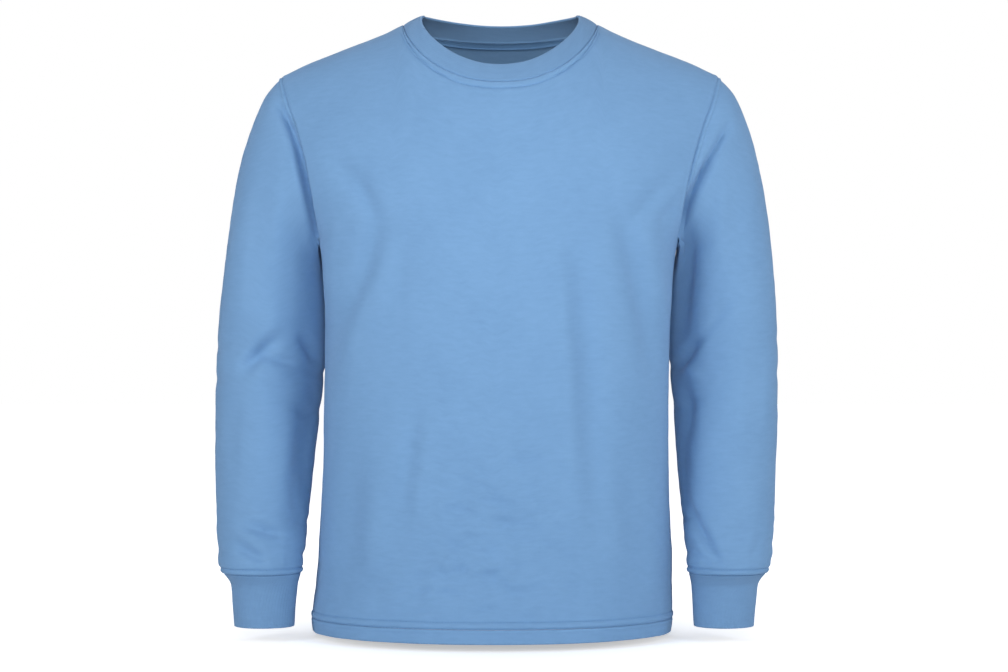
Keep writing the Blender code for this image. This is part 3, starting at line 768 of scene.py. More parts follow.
# Folds of the two sleeves in millimetres, on their front, back, outer and inner faces; across is x on the
# front and back, and y on the outer and inner faces. The tucks lie beside the armhole in front.
sleeveFolds = {
    "right": {
        "tuck": (
            (-245, -93, -229, -121.5, -217.5, -156, 4.4, -8.8),
            (-222, -138, -212, -178, -204, -213, 5.4, -14.5),
            (-206.5, -202, -202, -222, -199, -242, 6.2, -10),
        ),
        "front": (
            (-246.5, -354, -264, -367, -281, -385, 7.8, -9),
            (-264, -368, -244, -373, -222, -380, 6, -5),
            (-276, -404, -256, -392, -236, -396, 12, 3.5),
            (-272, -352, -252, -336, -226, -338, 10, 3),
            (-220, -348, -209, -362, -202, -382, 6.5, -8),
            (-250, -300, -249, -325, -252, -345, 10, 1.4),
            (-217, -380, -206, -400, -202, -440, 8, -2.6),
            (-262, -395, -256, -425, -256, -460, 13, 1.6),
            (-291, -410, -293, -470, -289, -540, 10, -1.8),
            (-243, -140, -243, -200, -246, -285, 10, 1.6),
            (-262, -180, -268, -240, -274, -310, 9, -1.2),
            (-270, -541, -250, -547, -232, -551, 7, 3),
            (-276, -553, -252, -560, -235, -564, 5.5, -6),
            (-280, -564, -262, -570, -246, -578, 7, 3),
            (-285, -576, -267, -583.5, -252, -592, 5.5, -6.2),
            (-230, -500, -218, -530, -214, -565, 7, -1.4),
            (-211, -415, -212, -480, -216, -560, 13, -8.5),
        ),
        "back": (
            (-290, -360, -258, -372, -226, -360, 8, -3.6),
            (-286, -392, -256, -402, -230, -396, 7.5, -3),
            (-280, -338, -255, -346, -232, -338, 9, 2),
            (-246, -130, -232, -185, -222, -240, 9, -3.4),
            (-268, -170, -262, -230, -258, -300, 10.5, -1.8),
            (-282, -440, -270, -490, -262, -540, 10, -1.8),
            (-286, -562, -256, -572, -230, -562, 6, -2.6),
            (-280, -586, -256, -594, -236, -590, 5, -2),
        ),
        "outer": (
            (-30, -350, 4, -362, 50, -352, 7.5, -1.1),
            (-10, -388, 20, -396, 56, -384, 7, -1),
            (-24, -150, -10, -215, 12, -290, 10.5, -0.7),
            (30, -160, 30, -225, 36, -290, 10.5, -0.6),
            (-26, -430, -22, -480, -34, -530, 9.5, -0.7),
            (-56, -575, -26, -586, 8, -578, 5.5, -0.9),
            (-40, -560, -20, -564, 4, -558, 5.5, 0.6),
        ),
        "inner": (
            (-10, -370, 30, -392, 70, -380, 7, -2.4),
            (-20, -420, 12, -436, 50, -424, 7, -2.2),
            (-46, -545, -20, -556, 12, -548, 5.5, -1.8),
            (-40, -580, -18, -590, 10, -584, 5, -1.8),
        ),
    },
    "left": {
        "tuck": (
            (255, -114, 239, -140.5, 222.5, -172.5, 4.8, -8.2),
            (232, -153, 216.5, -185, 204.5, -217, 5.6, -14.5),
            (209, -202, 203.5, -219, 200, -238, 6.6, -10),
        ),
        "front": (
            (212, -225, 205, -285, 203, -365, 11, -12),
            (250, -160, 244, -215, 240, -270, 11, 2.2),
            (264, -175, 263, -235, 268, -310, 10, -1.3),
            (208, -258, 218, -250, 232, -246, 5.5, -1.6),
            (262, -300, 240, -332, 218, -366, 5.5, -1.9),
            (223, -349, 209, -370, 199, -392, 7, -8),
            (206, -372, 217, -388, 226, -394, 6.5, 2.2),
            (206, -399, 213, -428, 211, -466, 8, -6.4),
            (238, -336, 232, -352, 224, -370, 8, 1.4),
            (206, -440, 207, -485, 210, -530, 9, -5),
            (298, -330, 302, -380, 298, -450, 10, 1.2),
            (287, -350, 290, -410, 286, -480, 9.5, -1.3),
            (208, -524, 226, -564, 243, -592, 6, -6.4),
            (228, -540, 238, -560, 252, -574, 7.5, 1.4),
            (276, -530, 270, -560, 256, -588, 7, -1.4),
            (212, -574, 226, -590, 250, -598, 4.8, -2),
            (290, -560, 286, -580, 272, -596, 5, -1.6),
        ),
        "back": (
            (226, -352, 256, -366, 290, -356, 8, -3.4),
            (230, -388, 258, -398, 284, -386, 7.5, -3),
            (232, -330, 258, -340, 280, -332, 9, 1.8),
            (246, -126, 234, -180, 220, -236, 8.5, -3.6),
            (270, -180, 266, -235, 262, -300, 10.5, -1.8),
            (264, -430, 272, -480, 276, -545, 10, -1.8),
            (230, -556, 258, -566, 288, -558, 6, -2.4),
            (236, -582, 256, -590, 282, -584, 5, -2),
        ),
        "outer": (
            (-34, -342, 2, -352, 48, -344, 7.5, -1),
            (-16, -380, 18, -390, 56, -380, 7, -1),
            (-22, -145, -8, -205, 10, -280, 10.5, -0.7),
            (34, -165, 32, -230, 38, -300, 10.5, -0.6),
            (-22, -440, -20, -490, -36, -535, 9.5, -0.6),
            (-52, -566, -24, -578, 6, -570, 5.5, -0.9),
            (-40, -590, -20, -597, 4, -592, 4.5, -0.6),
        ),
        "inner": (
            (-12, -360, 30, -382, 70, -372, 7, -2.4),
            (-22, -410, 12, -428, 50, -416, 7, -2.2),
            (-46, -540, -18, -552, 12, -544, 5.5, -1.8),
            (-42, -578, -18, -588, 10, -580, 5, -1.8),
        ),
    },
}
sleeveWork = {
    "seeds": {"left": (8, 10), "right": (9, 11)},
    "faint": 0.00040,
    "lowUneven": 0.0007,
    "cuffCrown": (0.0013, 0.0003),  # the seam allowance above the cuff, and its puckers
    "cuffGroove": 0.0009,
    "cuffRipple": 0.0010,
    "armCrown": (0.0010, 0.0002),   # the seam allowance beside the armhole
    "armGrooves": (0.0006, 0.0003),
}


def dressSleeve(side):
    piece, folds, work = pieces["sleeve_" + side], sleeveFolds[side], sleeveWork
    grid, normals = piece["grid"], piece["normals"]
    x, y, z = grid[..., 0], grid[..., 1], grid[..., 2]
    down, fromCuff = piece["up"], piece["up"][-1] - piece["up"]
    calm = ramp(down, 0.0035, 0.0075) * ramp(fromCuff, 0.007, 0.008)
    outward = 1.0 if side == "left" else -1.0
    lift = np.zeros_like(x)
    ahead, sideways = -normals[..., 1], outward * normals[..., 0]
    for face, across, facing in (("front", x, ahead), ("back", x, -ahead),
                                 ("outer", y, sideways), ("inner", y, -sideways)):
        lift += strokeLift(across, z, folds[face]) * ramp(facing, -0.05, 0.45)
    lift *= calm
    # the sleeve dips beside the armhole in front, where the body's edge stands over it
    lift += strokeLift(x, z, folds["tuck"]) * ramp(ahead, -0.05, 0.45) * ramp(down, 0.0002, 0.0022)
    faintSeed, lowSeed = work["seeds"][side]
    lift += work["faint"] * noiseAt(grid, (0.020, 0.020, 0.013), faintSeed)
    low = ramp(z, -0.640, 0.03) * ramp(-z, 0.505, 0.05)
    lift += work["lowUneven"] * low * calm * noiseAt(grid, (0.020, 0.020, 0.008), lowSeed)
    # twin needle lines over the allowance above the cuff, and the allowance beside the armhole
    pucker = roundNoise(piece, 6.2, 0.02, 12)
    crown, puckers = work["cuffCrown"]
    lift += ridge(fromCuff, 0.0006, grids["cuffRidge"] - 0.0002, 0.0016) * (crown + puckers * pucker)
    for place in (0.0, grids["cuffRidge"] + grids["beyondCuff"]):
        lift += work["cuffGroove"] * groove(fromCuff, place, 0.0010)
    lift += work["cuffRipple"] * pucker * ridge(fromCuff, grids["cuffRidge"], 0.022, 0.006)
    crown, puckers = work["armCrown"]
    lift += ridge(down, 0.0008, 0.0052, 0.0018) * (crown + puckers * pucker)
    for depth, place, width in zip(work["armGrooves"], (0.0, 0.0062), (0.0011, 0.0016)):
        lift += depth * groove(down, place, width)
    piece["lift"] = lift


cuffWork = {"crown": 0.0008, "uneven": 0.0007, "seamGroove": 0.0005, "ribs": 62, "ribHeight": 0.00014,
            "seeds": {"left": 13, "right": 14}}


def dressCuff(side):
    piece, work = pieces["cuff_" + side], cuffWork
    down = piece["up"]
    share = np.clip(down / float(down[-1].mean()), 0, 1)
    uneven = roundNoise(piece, 1.3, 0.03, work["seeds"][side])
    ribs = np.cos(turnsRound(piece) * work["ribs"]) * ramp(down, 0.003, 0.004)
    piece["lift"] = (work["crown"] * np.sin(math.pi * share) + work["uneven"] * uneven * smooth(down / 0.02)
                     + work["seamGroove"] * groove(down, 0.0, 0.0012) + work["ribHeight"] * ribs)


for side in ("left", "right"):
    dressSleeve(side)
    dressCuff(side)

bandWork = {"crown": 0.0011, "ripple": 0.0005, "seamGroove": 0.0009}
hemWork = {"ripple": 0.0009, "seamGroove": 0.0005, "crown": 0.0004, "sideGroove": 0.0004,
           "seeds": {"front": 16, "back": 17}}


def dressBand():
    band, work = pieces["neckband"], bandWork
    share = band["up"] / band["up"][-1]
    band["lift"] = (work["crown"] * np.sin(math.pi * share) ** 0.8
                    + work["ripple"] * noiseAt(band["grid"], 0.03, 15) * smooth(share / 0.4)
                    + work["seamGroove"] * groove(band["up"], 0.0, 0.0010))


def dressHem(face):
    hem, work = pieces["hem_band_" + face], hemWork
    fromSeam = hem["up"][-1] - hem["up"]
    ripple = clothNoise(hem, 0.022, 0.04, work["seeds"][face]) * smooth(fromSeam / 0.008)
    hem["lift"] = (work["ripple"] * ripple
                   + work["seamGroove"] * groove(fromSeam, 0.0, 0.0010)
                   + work["crown"] * ridge(fromSeam, 0.0006, 0.0040, 0.0012)
                   + work["sideGroove"] * groove(hem["fromSide"], 0.0, 0.0012))


dressBand()
dressHem("front")
dressHem("back")
print("sleeves, cuffs and bands dressed")


# Outer and inner surfaces
# Pulls the sewn edges back from their seam.
def drawBack(grid, lean, closed, edges, amount):
    moved = grid.copy()

    def pullRow(row, inside):
        ahead = np.roll(grid[row], -1, 0)
        behind = np.roll(grid[row], 1, 0)
        if not closed:
            ahead[-1], behind[0] = grid[row, -1], grid[row, 0]
        pull = unit(np.cross(ahead - behind, lean[row]))
        pull *= np.where(((grid[inside] - grid[row]) * pull).sum(-1) < 0, -1.0, 1.0)[:, None]
        moved[row] += pull * amount

    def pullColumn(column, inside):
        ahead = np.concatenate([grid[1:, column], grid[-1:, column]])
        behind = np.concatenate([grid[:1, column], grid[:-1, column]])
        pull = unit(np.cross(ahead - behind, lean[:, column]))
        pull *= np.where(((grid[:, inside] - grid[:, column]) * pull).sum(-1) < 0, -1.0, 1.0)[:, None]
        moved[:, column] += pull * amount

    if "lower" in edges:
        pullRow(0, 1)
    if "upper" in edges:
        pullRow(-1, -2)
    if not closed:
        pullColumn(0, 1)
        pullColumn(-1, -2)
    return moved


# How the whole garment stands: a slight lean, an uneven hem and the set of its shoulders.
stance = {
    "bodyEdge": (0.213, 0.004),         # the hem is drawn in up to here, and not on the sleeves beyond
    "hemTop": (0.585, 0.080),           # from this far below the shoulders down
    "drawnIn": (0.0038, 0.0016),        # at the wearer's left and right
    "halfHem": 0.2,
    "shoulderFoot": (-0.150, 0.080),
}


def settle(points):
    moved = points.copy()
    x, z = points[..., 0], points[..., 2]
    edge, soft = stance["bodyEdge"]
    drawn = ramp(-np.abs(x), -edge, soft) * ramp(-z, *stance["hemTop"]) * np.where(x > 0, *stance["drawnIn"])
    moved[..., 0] += readTable(standing, 1, z) - drawn * np.abs(x) / stance["halfHem"]
    moved[..., 2] += readTable(shoulderLine, 1, np.abs(x)) * ramp(z, *stance["shoulderFoot"])
    return moved


def shapePiece(piece):
    edges = tuple(edge for edge in ("lower", "upper") if edge not in piece["folds"])
    grid = drawBack(piece["grid"], piece["lean"], piece["closed"], edges, garment["seamGap"] / 2)
    height = piece["lift"] + undulation(piece["grid"])
    outer = grid + piece["lean"] * height[..., None]
    if piece["name"].startswith("sleeve"):
        outer = clearOfBody(outer, garment["sleeveClearance"])
    inner = outer - piece["lean"] * (piece["wall"] * piece["mitre"])[..., None]
    piece["outer"] = settle(outer)
    piece["inner"] = settle(inner)
    piece["shown"] = gridNormals(piece["outer"], piece["closed"])


# Points round a folded edge from its outer to its inner side.
def foldArc(outer, inner, beside, steps=5):
    middle = (outer + inner) / 2
    half = (outer - inner) / 2
    away = unit(outer - beside) * np.linalg.norm(half, axis=-1, keepdims=True)
    angles = [math.pi * (k + 1) / (steps + 1) for k in range(steps)]
    return [middle + half * math.cos(a) + away * math.sin(a) for a in angles]


sharpAngle = math.radians(50)


# A closed thin shell: outer face, rim, inner face, rim, column by column.
def meshFromWall(name, piece):
    outer, inner, closed = piece["outer"], piece["inner"], piece["closed"]
    rows, columns = outer.shape[:2]
    upArc = foldArc(outer[-1], inner[-1], outer[-2]) if "upper" in piece["folds"] else []
    lowArc = foldArc(outer[0], inner[0], outer[1]) if "lower" in piece["folds"] else []
    loop = np.concatenate([outer] + [arc[None] for arc in upArc] + [inner[::-1]]
                          + [arc[None] for arc in lowArc[::-1]])
    size = len(loop)
    vertices = loop.transpose(1, 0, 2).reshape(-1, 3)
    rowOf = np.concatenate([np.arange(rows), np.full(len(upArc), rows - 1), np.arange(rows)[::-1],
                            np.zeros(len(lowArc), int)])
    along = piece["along"]
    place = squareHeights(outer, closed)
    place -= place[-1] if piece["name"].startswith("sleeve") else 0.0
    place = np.concatenate([place, place[:, :1]], 1)
    strips = columns if closed else columns - 1
    i, p = np.meshgrid(np.arange(strips), np.arange(size), indexing="ij")
    after, onward = (i + 1) % columns, (p + 1) % size
    here, there = i * size, after * size
    quads = np.stack([here + p, there + p, there + onward, here + onward], -1).reshape(-1, 4)
    here, above = rowOf[p], rowOf[onward]
    corners = ((here, i), (here, i + 1), (above, i + 1), (above, i))
    us, vs = (np.stack([values[corner] for corner in corners], -1).reshape(-1) for values in (along, place))
    uvs = np.stack([us, vs], -1)
    faces = quads.tolist()
    if not closed:
        extra = []
        for column, flip in ((0, False), (columns - 1, True)):
            start = column * size
            back = start + size - len(lowArc) - 1
            ends = [[start + k, back - k, back - 1 - k, start + k + 1] for k in range(rows - 1)]
            if upArc:
                ends.append([start + rows - 1 + k for k in range(len(upArc) + 2)])
            if lowArc:
                ends.append([back + k for k in range(len(lowArc) + 1)] + [start])
            for face in ends:
                face = face if flip else face[::-1]
                faces.append(face)
                extra += [(along[rowOf[v - start], column], place[rowOf[v - start], column]) for v in face]
        uvs = np.concatenate([uvs, np.array(extra)])
    mesh = bpy.data.meshes.new(name)
    mesh.from_pydata(vertices.tolist(), [], faces)
    layer = mesh.uv_layers.new(name="cloth")
    layer.uv.foreach_set("vector", uvs.astype(np.float32).ravel())
    mesh.update()
    mesh.shade_smooth()
    mesh.set_sharp_from_angle(angle=sharpAngle)
    return mesh


def signedVolume(mesh):
    mesh.calc_loop_triangles()
    points = np.empty(len(mesh.vertices) * 3)
    mesh.vertices.foreach_get("co", points)
    corners = np.empty(len(mesh.loop_triangles) * 3, int)
    mesh.loop_triangles.foreach_get("vertices", corners)
    a, b, c = points.reshape(-1, 3)[corners.reshape(-1, 3)].transpose(1, 0, 2)
    return float((np.cross(a, b) * c).sum() / 6)


def addObject(name, mesh):
    if signedVolume(mesh) < 0:
        mesh.flip_normals()
    made = bpy.data.objects.new(name, mesh)
    bpy.context.scene.collection.objects.link(made)
    return made


shown = {}
for name, piece in pieces.items():
    shapePiece(piece)
    shown[name] = addObject(name + "_cloth", meshFromWall(name + "_cloth", piece))

# The neck tape lies on the inside of the back panel, just under the neck seam.
tapeFacts = {
    "top": 0.0010,
    "width": 0.0085,
    "clearance": 0.0005,
    "wall": 0.0010,
    "crown": 0.0005,
    "rows": 12,
    "share": 5 / 11,        # of a half panel's width
    "panelRows": 30,        # of the panel, from its top, that the tape is laid on
}


def shapeTape():
    facts, back = tapeFacts, pieces["back_panel"]
    middle = back["grid"].shape[1] // 2
    reach = int(np.searchsorted(halfColumns, facts["share"] - 1e-9))
    columns = np.arange(middle - reach, middle + reach + 1)
    sunk = (back["inner"] - back["lean"] * facts["clearance"])[::-1][:facts["panelRows"], columns]
    normals = back["lean"][::-1][:facts["panelRows"], columns]
    reached = np.zeros(sunk.shape[:2])
    reached[1:] = np.cumsum(np.linalg.norm(np.diff(sunk, axis=0), axis=2), 0)
    goals = np.linspace(facts["top"], facts["top"] + facts["width"], facts["rows"] + 1)[::-1]
    grid = np.empty((len(goals), len(columns), 3))
    lean = np.empty_like(grid)
    for column in range(len(columns)):
        for axis in range(3):
            for values, found in ((sunk, grid), (normals, lean)):
                found[:, column, axis] = np.interp(goals, reached[:, column], values[:, column, axis])
    share = (goals - goals.min()) / facts["width"]
    wall = facts["wall"] + facts["crown"] * np.sin(math.pi * share) ** 0.5
    along, up = gridLengths(grid, False)
    pieces["neck_tape"] = {"name": "neck_tape", "closed": False, "folds": (), "along": along, "up": up,
                           "outer": grid, "inner": grid - unit(lean) * wall[:, None, None], "slot": "tape"}
    shown["neck_tape"] = addObject("neck_tape_cloth", meshFromWall("neck_tape_cloth", pieces["neck_tape"]))


shapeTape()
print("cloth meshes:", sum(len(o.data.polygons) * 2 for o in shown.values()), "triangles")

# Stitches
thread = {
    "pitch": 0.0033,
    "length": 0.0027,
    "radius": 0.00030,
    "sides": 6,
    "stand": 0.6,           # height of its middle over the cloth, in radii
    "bow": 0.35,
    "colour": (0.150, 0.325, 0.580),
}


def stitchTemplate():
    rings = ((-0.5, 0.0), (-0.40, 0.75), (-0.15, 1.0), (0.15, 1.0), (0.40, 0.75), (0.5, 0.0))
    vertices, faces = [(rings[0][0], 0.0, 0.0)], []
    sides = thread["sides"]
    for place, radius in rings[1:-1]:
        for k in range(sides):
            angle = 2 * math.pi * k / sides
            vertices.append((place, radius * math.cos(angle), radius * math.sin(angle)))
    vertices.append((rings[-1][0], 0.0, 0.0))
    last = len(vertices) - 1
    for k in range(sides):
        after = (k + 1) % sides
        faces.append((0, 1 + after, 1 + k))
        for step in range(len(rings) - 3):
            low, high = 1 + step * sides, 1 + (step + 1) * sides
            faces.append((low + k, low + after, high + after))
            faces.append((low + k, high + after, high + k))
        faces.append((last - sides + k, last - sides + after, last))
    return np.array(vertices), np.array(faces)


stitchVertices, stitchFaces = stitchTemplate()


# Stitches laid end to end along a path, pressed a little into the cloth.
def stitchesAlong(path, normals, closed):
    if closed:
        path = np.concatenate([path, path[:1]])
        normals = np.concatenate([normals, normals[:1]])
    length = pathLength(path)
    count = int(length[-1] / thread["pitch"])
    at = (np.arange(count) + 0.5) * length[-1] / count
    half = thread["length"] / 2

    def pointAt(place):
        return np.stack([np.interp(place, length, path[:, k]) for k in range(3)], -1)

    centre = pointAt(at)
    forward = unit(pointAt(np.minimum(at + half, length[-1])) - pointAt(np.maximum(at - half, 0.0)))
    normal = np.stack([np.interp(at, length, normals[:, k]) for k in range(3)], -1)
    across = unit(np.cross(forward, normal))
    normal = np.cross(across, forward)
    centre = centre + normal * (thread["radius"] * thread["stand"])
    local = stitchVertices
    bow = 1.0 - (2 * local[:, 0]) ** 2
    points = (centre[:, None] + forward[:, None] * (local[:, 0] * thread["length"])[None, :, None]
              + across[:, None] * (local[:, 1] * thread["radius"])[None, :, None]
              + normal[:, None] * ((local[:, 2] + thread["bow"] * bow) * thread["radius"])[None, :, None])
    faces = stitchFaces[None] + (np.arange(count) * len(local))[:, None, None]
    return points.reshape(-1, 3), faces.reshape(-1, 3)


def addStitches(name, runs):
    vertices, faces, start = [], [], 0
    for path, normals, closed in runs:
        points, triangles = stitchesAlong(path, normals, closed)
        vertices.append(points)
        faces.append(triangles + start)
        start += len(points)
    mesh = bpy.data.meshes.new(name)
    mesh.from_pydata(np.concatenate(vertices).tolist(), [], np.concatenate(faces).tolist())
    mesh.shade_smooth()
    shown[name] = addObject(name, mesh)


def rowNear(piece, distance, fromTop=False):
    up = piece["up"][:, piece["up"].shape[1] // 2]
    up = up[-1] - up if fromTop else up
    return int(np.argmin(np.abs(up - distance)))


def runOf(piece, row, columns):
    return piece["outer"][row, columns], piece["shown"][row, columns], piece["closed"]


# Stitching in lines at these distances from an edge of the piece.
def linesOf(piece, distances, fromTop=False, columns=slice(None)):
    return [runOf(piece, rowNear(piece, distance, fromTop), columns) for distance in distances]


firstLine = 0.0009          # from a seam to the first line of its stitching
front, back = pieces["front_panel"], pieces["back_panel"]
hemLines = (firstLine, grids["hemRidge"] + grids["beyond"])
addStitches("hem_stitches", linesOf(front, hemLines) + linesOf(back, hemLines))
middle = front["grid"].shape[1] // 2
neckSpan = slice(middle - len(neckColumns) + 1, middle + len(neckColumns))
neckLines = (grids["neckRidge"] + grids["beyond"],)
neckRuns = linesOf(front, neckLines, True, neckSpan) + linesOf(back, neckLines, True, neckSpan)
addStitches("neck_stitches", neckRuns)
cuffLines = (grids["cuffRidge"] + grids["beyondCuff"], firstLine)
for side in ("left", "right"):
    addStitches("cuff_stitches_" + side, linesOf(pieces["sleeve_" + side], cuffLines, True))
tape = pieces["neck_tape"]
tapeNormals = -gridNormals(tape["inner"], False)
tapeRows = (1, tapeFacts["rows"] - 1)
addStitches("tape_stitches", [(tape["inner"][row], tapeNormals[row], False) for row in tapeRows])
print("stitches:", sum(len(shown[n].data.polygons) for n in shown if "stitches" in n), "triangles")


# Shader groups
def newGroup(name, inputs, outputs):
    group = bpy.data.node_groups.new(name, "ShaderNodeTree")
    for socketName, kind, value in inputs:
        socket = group.interface.new_socket(name=socketName, in_out="INPUT", socket_type=kind)
        if value is not None:
            socket.default_value = value
    for socketName, kind in outputs:
        group.interface.new_socket(name=socketName, in_out="OUTPUT", socket_type=kind)
    start = group.nodes.new("NodeGroupInput")
    end = group.nodes.new("NodeGroupOutput")
    return group, start, end


# A node with its settings and its input links or values: (socket, source socket or value).
def addNode(tree, kind, links=(), **settings):
    node = tree.nodes.new(kind)
    for key, value in settings.items():
        setattr(node, key, value)
    for socket, source in links:
        if isinstance(source, bpy.types.NodeSocket):
            tree.links.new(source, node.inputs[socket])
        else:
            node.inputs[socket].default_value = source
    return node


def mathNode(tree, operation, first, second=None):
    links = [(0, first)] + ([(1, second)] if second is not None else [])
    return addNode(tree, "ShaderNodeMath", links, operation=operation).outputs[0]


# A value carried from one range over to another.
def carry(tree, value, before, after):
    links = [("Value", value), ("From Min", before[0]), ("From Max", before[1])]
    links += [("To Min", after[0]), ("To Max", after[1])]
    return addNode(tree, "ShaderNodeMapRange", links).outputs[0]


def bump(tree, height, distance, strength, under=None):
    links = [("Height", height), ("Distance", distance), ("Strength", strength)]
    if under is not None:
        links.append(("Normal", under))
    return addNode(tree, "ShaderNodeBump", links).outputs[0]


def noiseNode(tree, place, scale, **settings):
    links = [("Vector", place), ("Scale", scale)] + [(key.title(), value) for key, value in settings.items()]
    return addNode(tree, "ShaderNodeTexNoise", links).outputs["Fac"]


def newMaterial(name):
    material = bpy.data.materials.new(name)
    material.use_nodes = True
    return material, material.node_tree, material.node_tree.nodes["Principled BSDF"]


# Uneven dye of the yarn: short streaks along the courses, over broad soft patches.
def makeHeather():
    group, start, end = newGroup(
        "heatheredYarn",
        [("Cloth Position", "NodeSocketVector", None), ("Streak Length", "NodeSocketFloat", 0.016),
         ("Streak Height", "NodeSocketFloat", 0.0045), ("Patch Size", "NodeSocketFloat", 0.06)],
        [("Streaks", "NodeSocketFloat"), ("Patches", "NodeSocketFloat"), ("Fuzz", "NodeSocketFloat")])
    place = start.outputs["Cloth Position"]
    split = addNode(group, "ShaderNodeSeparateXYZ", [(0, place)])
    along = mathNode(group, "DIVIDE", split.outputs["X"], start.outputs["Streak Length"])
    up = mathNode(group, "DIVIDE", split.outputs["Y"], start.outputs["Streak Height"])
    stretched = addNode(group, "ShaderNodeCombineXYZ", [("X", along), ("Y", up)])
    wide = addNode(group, "ShaderNodeVectorMath", [(0, place)], operation="SCALE")
    group.links.new(mathNode(group, "DIVIDE", 1.0, start.outputs["Patch Size"]), wide.inputs["Scale"])
    streaks = noiseNode(group, stretched.outputs[0], 1.0, detail=4.0, roughness=0.62, distortion=0.25)
    group.links.new(streaks, end.inputs["Streaks"])
    group.links.new(noiseNode(group, wide.outputs[0], 1.0, detail=2.0), end.inputs["Patches"])
    group.links.new(noiseNode(group, place, 520.0, detail=3.0, roughness=0.7), end.inputs["Fuzz"])
    return group


# Height of a plain knit: columns of small slanting loops, and painted shade that darkens the low places
# between them.
def makeKnit():
    group, start, end = newGroup(
        "knitLoops",
        [("Cloth Position", "NodeSocketVector", None), ("Wale Width", "NodeSocketFloat", 0.0011),
         ("Course Height", "NodeSocketFloat", 0.0009), ("Rib Width", "NodeSocketFloat", 0.0034),
         ("Rib Depth", "NodeSocketFloat", 0.0)],
        [("Height", "NodeSocketFloat"), ("Gap Shade", "NodeSocketFloat")])
    split = addNode(group, "ShaderNodeSeparateXYZ", [(0, start.outputs["Cloth Position"])])
    across = mathNode(group, "DIVIDE", split.outputs["X"], start.outputs["Wale Width"])
    up = mathNode(group, "DIVIDE", split.outputs["Y"], start.outputs["Course Height"])
    fromWale = mathNode(group, "PINGPONG", across, 0.5)            # 0 at a wale's edge, 0.5 at its middle
    slanted = mathNode(group, "ADD", up, mathNode(group, "MULTIPLY", fromWale, 1.3))
    loops = mathNode(group, "SINE", mathNode(group, "MULTIPLY", slanted, 2 * math.pi))
    bulge = mathNode(group, "POWER", mathNode(group, "MULTIPLY", fromWale, 2.0), 0.5)
    loopHeight = mathNode(group, "MULTIPLY_ADD", loops, 0.22)
    loopHeight.node.inputs[2].default_value = 0.70
    knit = mathNode(group, "MULTIPLY", bulge, loopHeight)
    ribTurn = mathNode(group, "DIVIDE", split.outputs["X"], start.outputs["Rib Width"])
    rib = mathNode(group, "SINE", mathNode(group, "MULTIPLY", ribTurn, 2 * math.pi))
    ribs = mathNode(group, "MULTIPLY", rib, start.outputs["Rib Depth"])
    group.links.new(mathNode(group, "ADD", knit, ribs), end.inputs["Height"])
    # painted shade: the lower the loop surface, the darker the colour, so the gaps between loops come out
    # darker
    group.links.new(mathNode(group, "SUBTRACT", 1.0, knit), end.inputs["Gap Shade"])
    return group


heatheredYarn = makeHeather()
knitLoops = makeKnit()

# Base is a linear colour; streak, patch and the painted shade in the gaps between loops are shares of it;
# widths and depths are in metres.
finishes = {
    "jersey": {"base": (0.202, 0.382, 0.626), "streak": 0.050, "patch": 0.022, "gap": 0.06, "sheen": 0.22,
               "wale": 0.00115, "course": 0.00095, "rib": 0.0, "loopDepth": 0.00016, "fuzzDepth": 0.00012,
               "roughness": (0.80, 0.97)},
    "rib": {"base": (0.196, 0.370, 0.610), "streak": 0.045, "patch": 0.02, "gap": 0.08, "sheen": 0.24,
            "wale": 0.00110, "course": 0.00095, "rib": 0.5, "loopDepth": 0.00022, "fuzzDepth": 0.00010,
            "roughness": (0.82, 0.97)},
    "tape": {"base": (0.160, 0.330, 0.575), "streak": 0.06, "patch": 0.04, "gap": 0.12, "sheen": 0.15,
             "wale": 0.00080, "course": 0.00080, "rib": 0.0, "loopDepth": 0.00014, "fuzzDepth": 0.00006,
             "roughness": (0.82, 0.97)},
}


tonePowers = (1.15, 1.0, 0.8)       # how strongly each channel follows the tone


def clothMaterial(name):
    facts = finishes[name]
    material, tree, shader = newMaterial("sweatshirt_" + name)
    place = addNode(tree, "ShaderNodeUVMap", uv_map="cloth").outputs["UV"]
    yarn = addNode(tree, "ShaderNodeGroup", [("Cloth Position", place)], node_tree=heatheredYarn)
    loops = addNode(tree, "ShaderNodeGroup", [("Cloth Position", place), ("Wale Width", facts["wale"]),
                    ("Course Height", facts["course"]), ("Rib Depth", facts["rib"])], node_tree=knitLoops)
    # tone: 1 is the base colour, with streaks and patches either side of it and painted shade darkening the
    # gaps between loops
    streak = carry(tree, yarn.outputs["Streaks"], (0.25, 0.75), (1 - facts["streak"], 1 + facts["streak"]))
    patch = carry(tree, yarn.outputs["Patches"], (0.3, 0.7), (1 - facts["patch"], 1 + facts["patch"]))
    gap = carry(tree, loops.outputs["Gap Shade"], (0.2, 1.0), (1.0, 1 - facts["gap"]))
    tone = mathNode(tree, "MULTIPLY", mathNode(tree, "MULTIPLY", streak, patch), gap)
    colour = addNode(tree, "ShaderNodeCombineColor")
    for channel, power, value in zip(("Red", "Green", "Blue"), tonePowers, facts["base"]):
        lit = mathNode(tree, "POWER", tone, power)
        tree.links.new(mathNode(tree, "MULTIPLY", lit, value), colour.inputs[channel])
    tree.links.new(colour.outputs[0], shader.inputs["Base Color"])
    rough = carry(tree, yarn.outputs["Fuzz"], (0.3, 0.7), facts["roughness"])
    tree.links.new(rough, shader.inputs["Roughness"])
    fuzzy = bump(tree, yarn.outputs["Fuzz"], facts["fuzzDepth"], 0.8)
    streaky = bump(tree, yarn.outputs["Streaks"], 0.0003, 0.5, fuzzy)
    looped = bump(tree, loops.outputs["Height"], facts["loopDepth"], 0.9, streaky)
    tree.links.new(looped, shader.inputs["Normal"])
    for socket, value in (("Sheen Weight", facts["sheen"]), ("Sheen Roughness", 0.45),
                          ("Sheen Tint", (0.75, 0.88, 1.0, 1.0)), ("Specular IOR Level", 0.25)):
        shader.inputs[socket].default_value = value
    return material


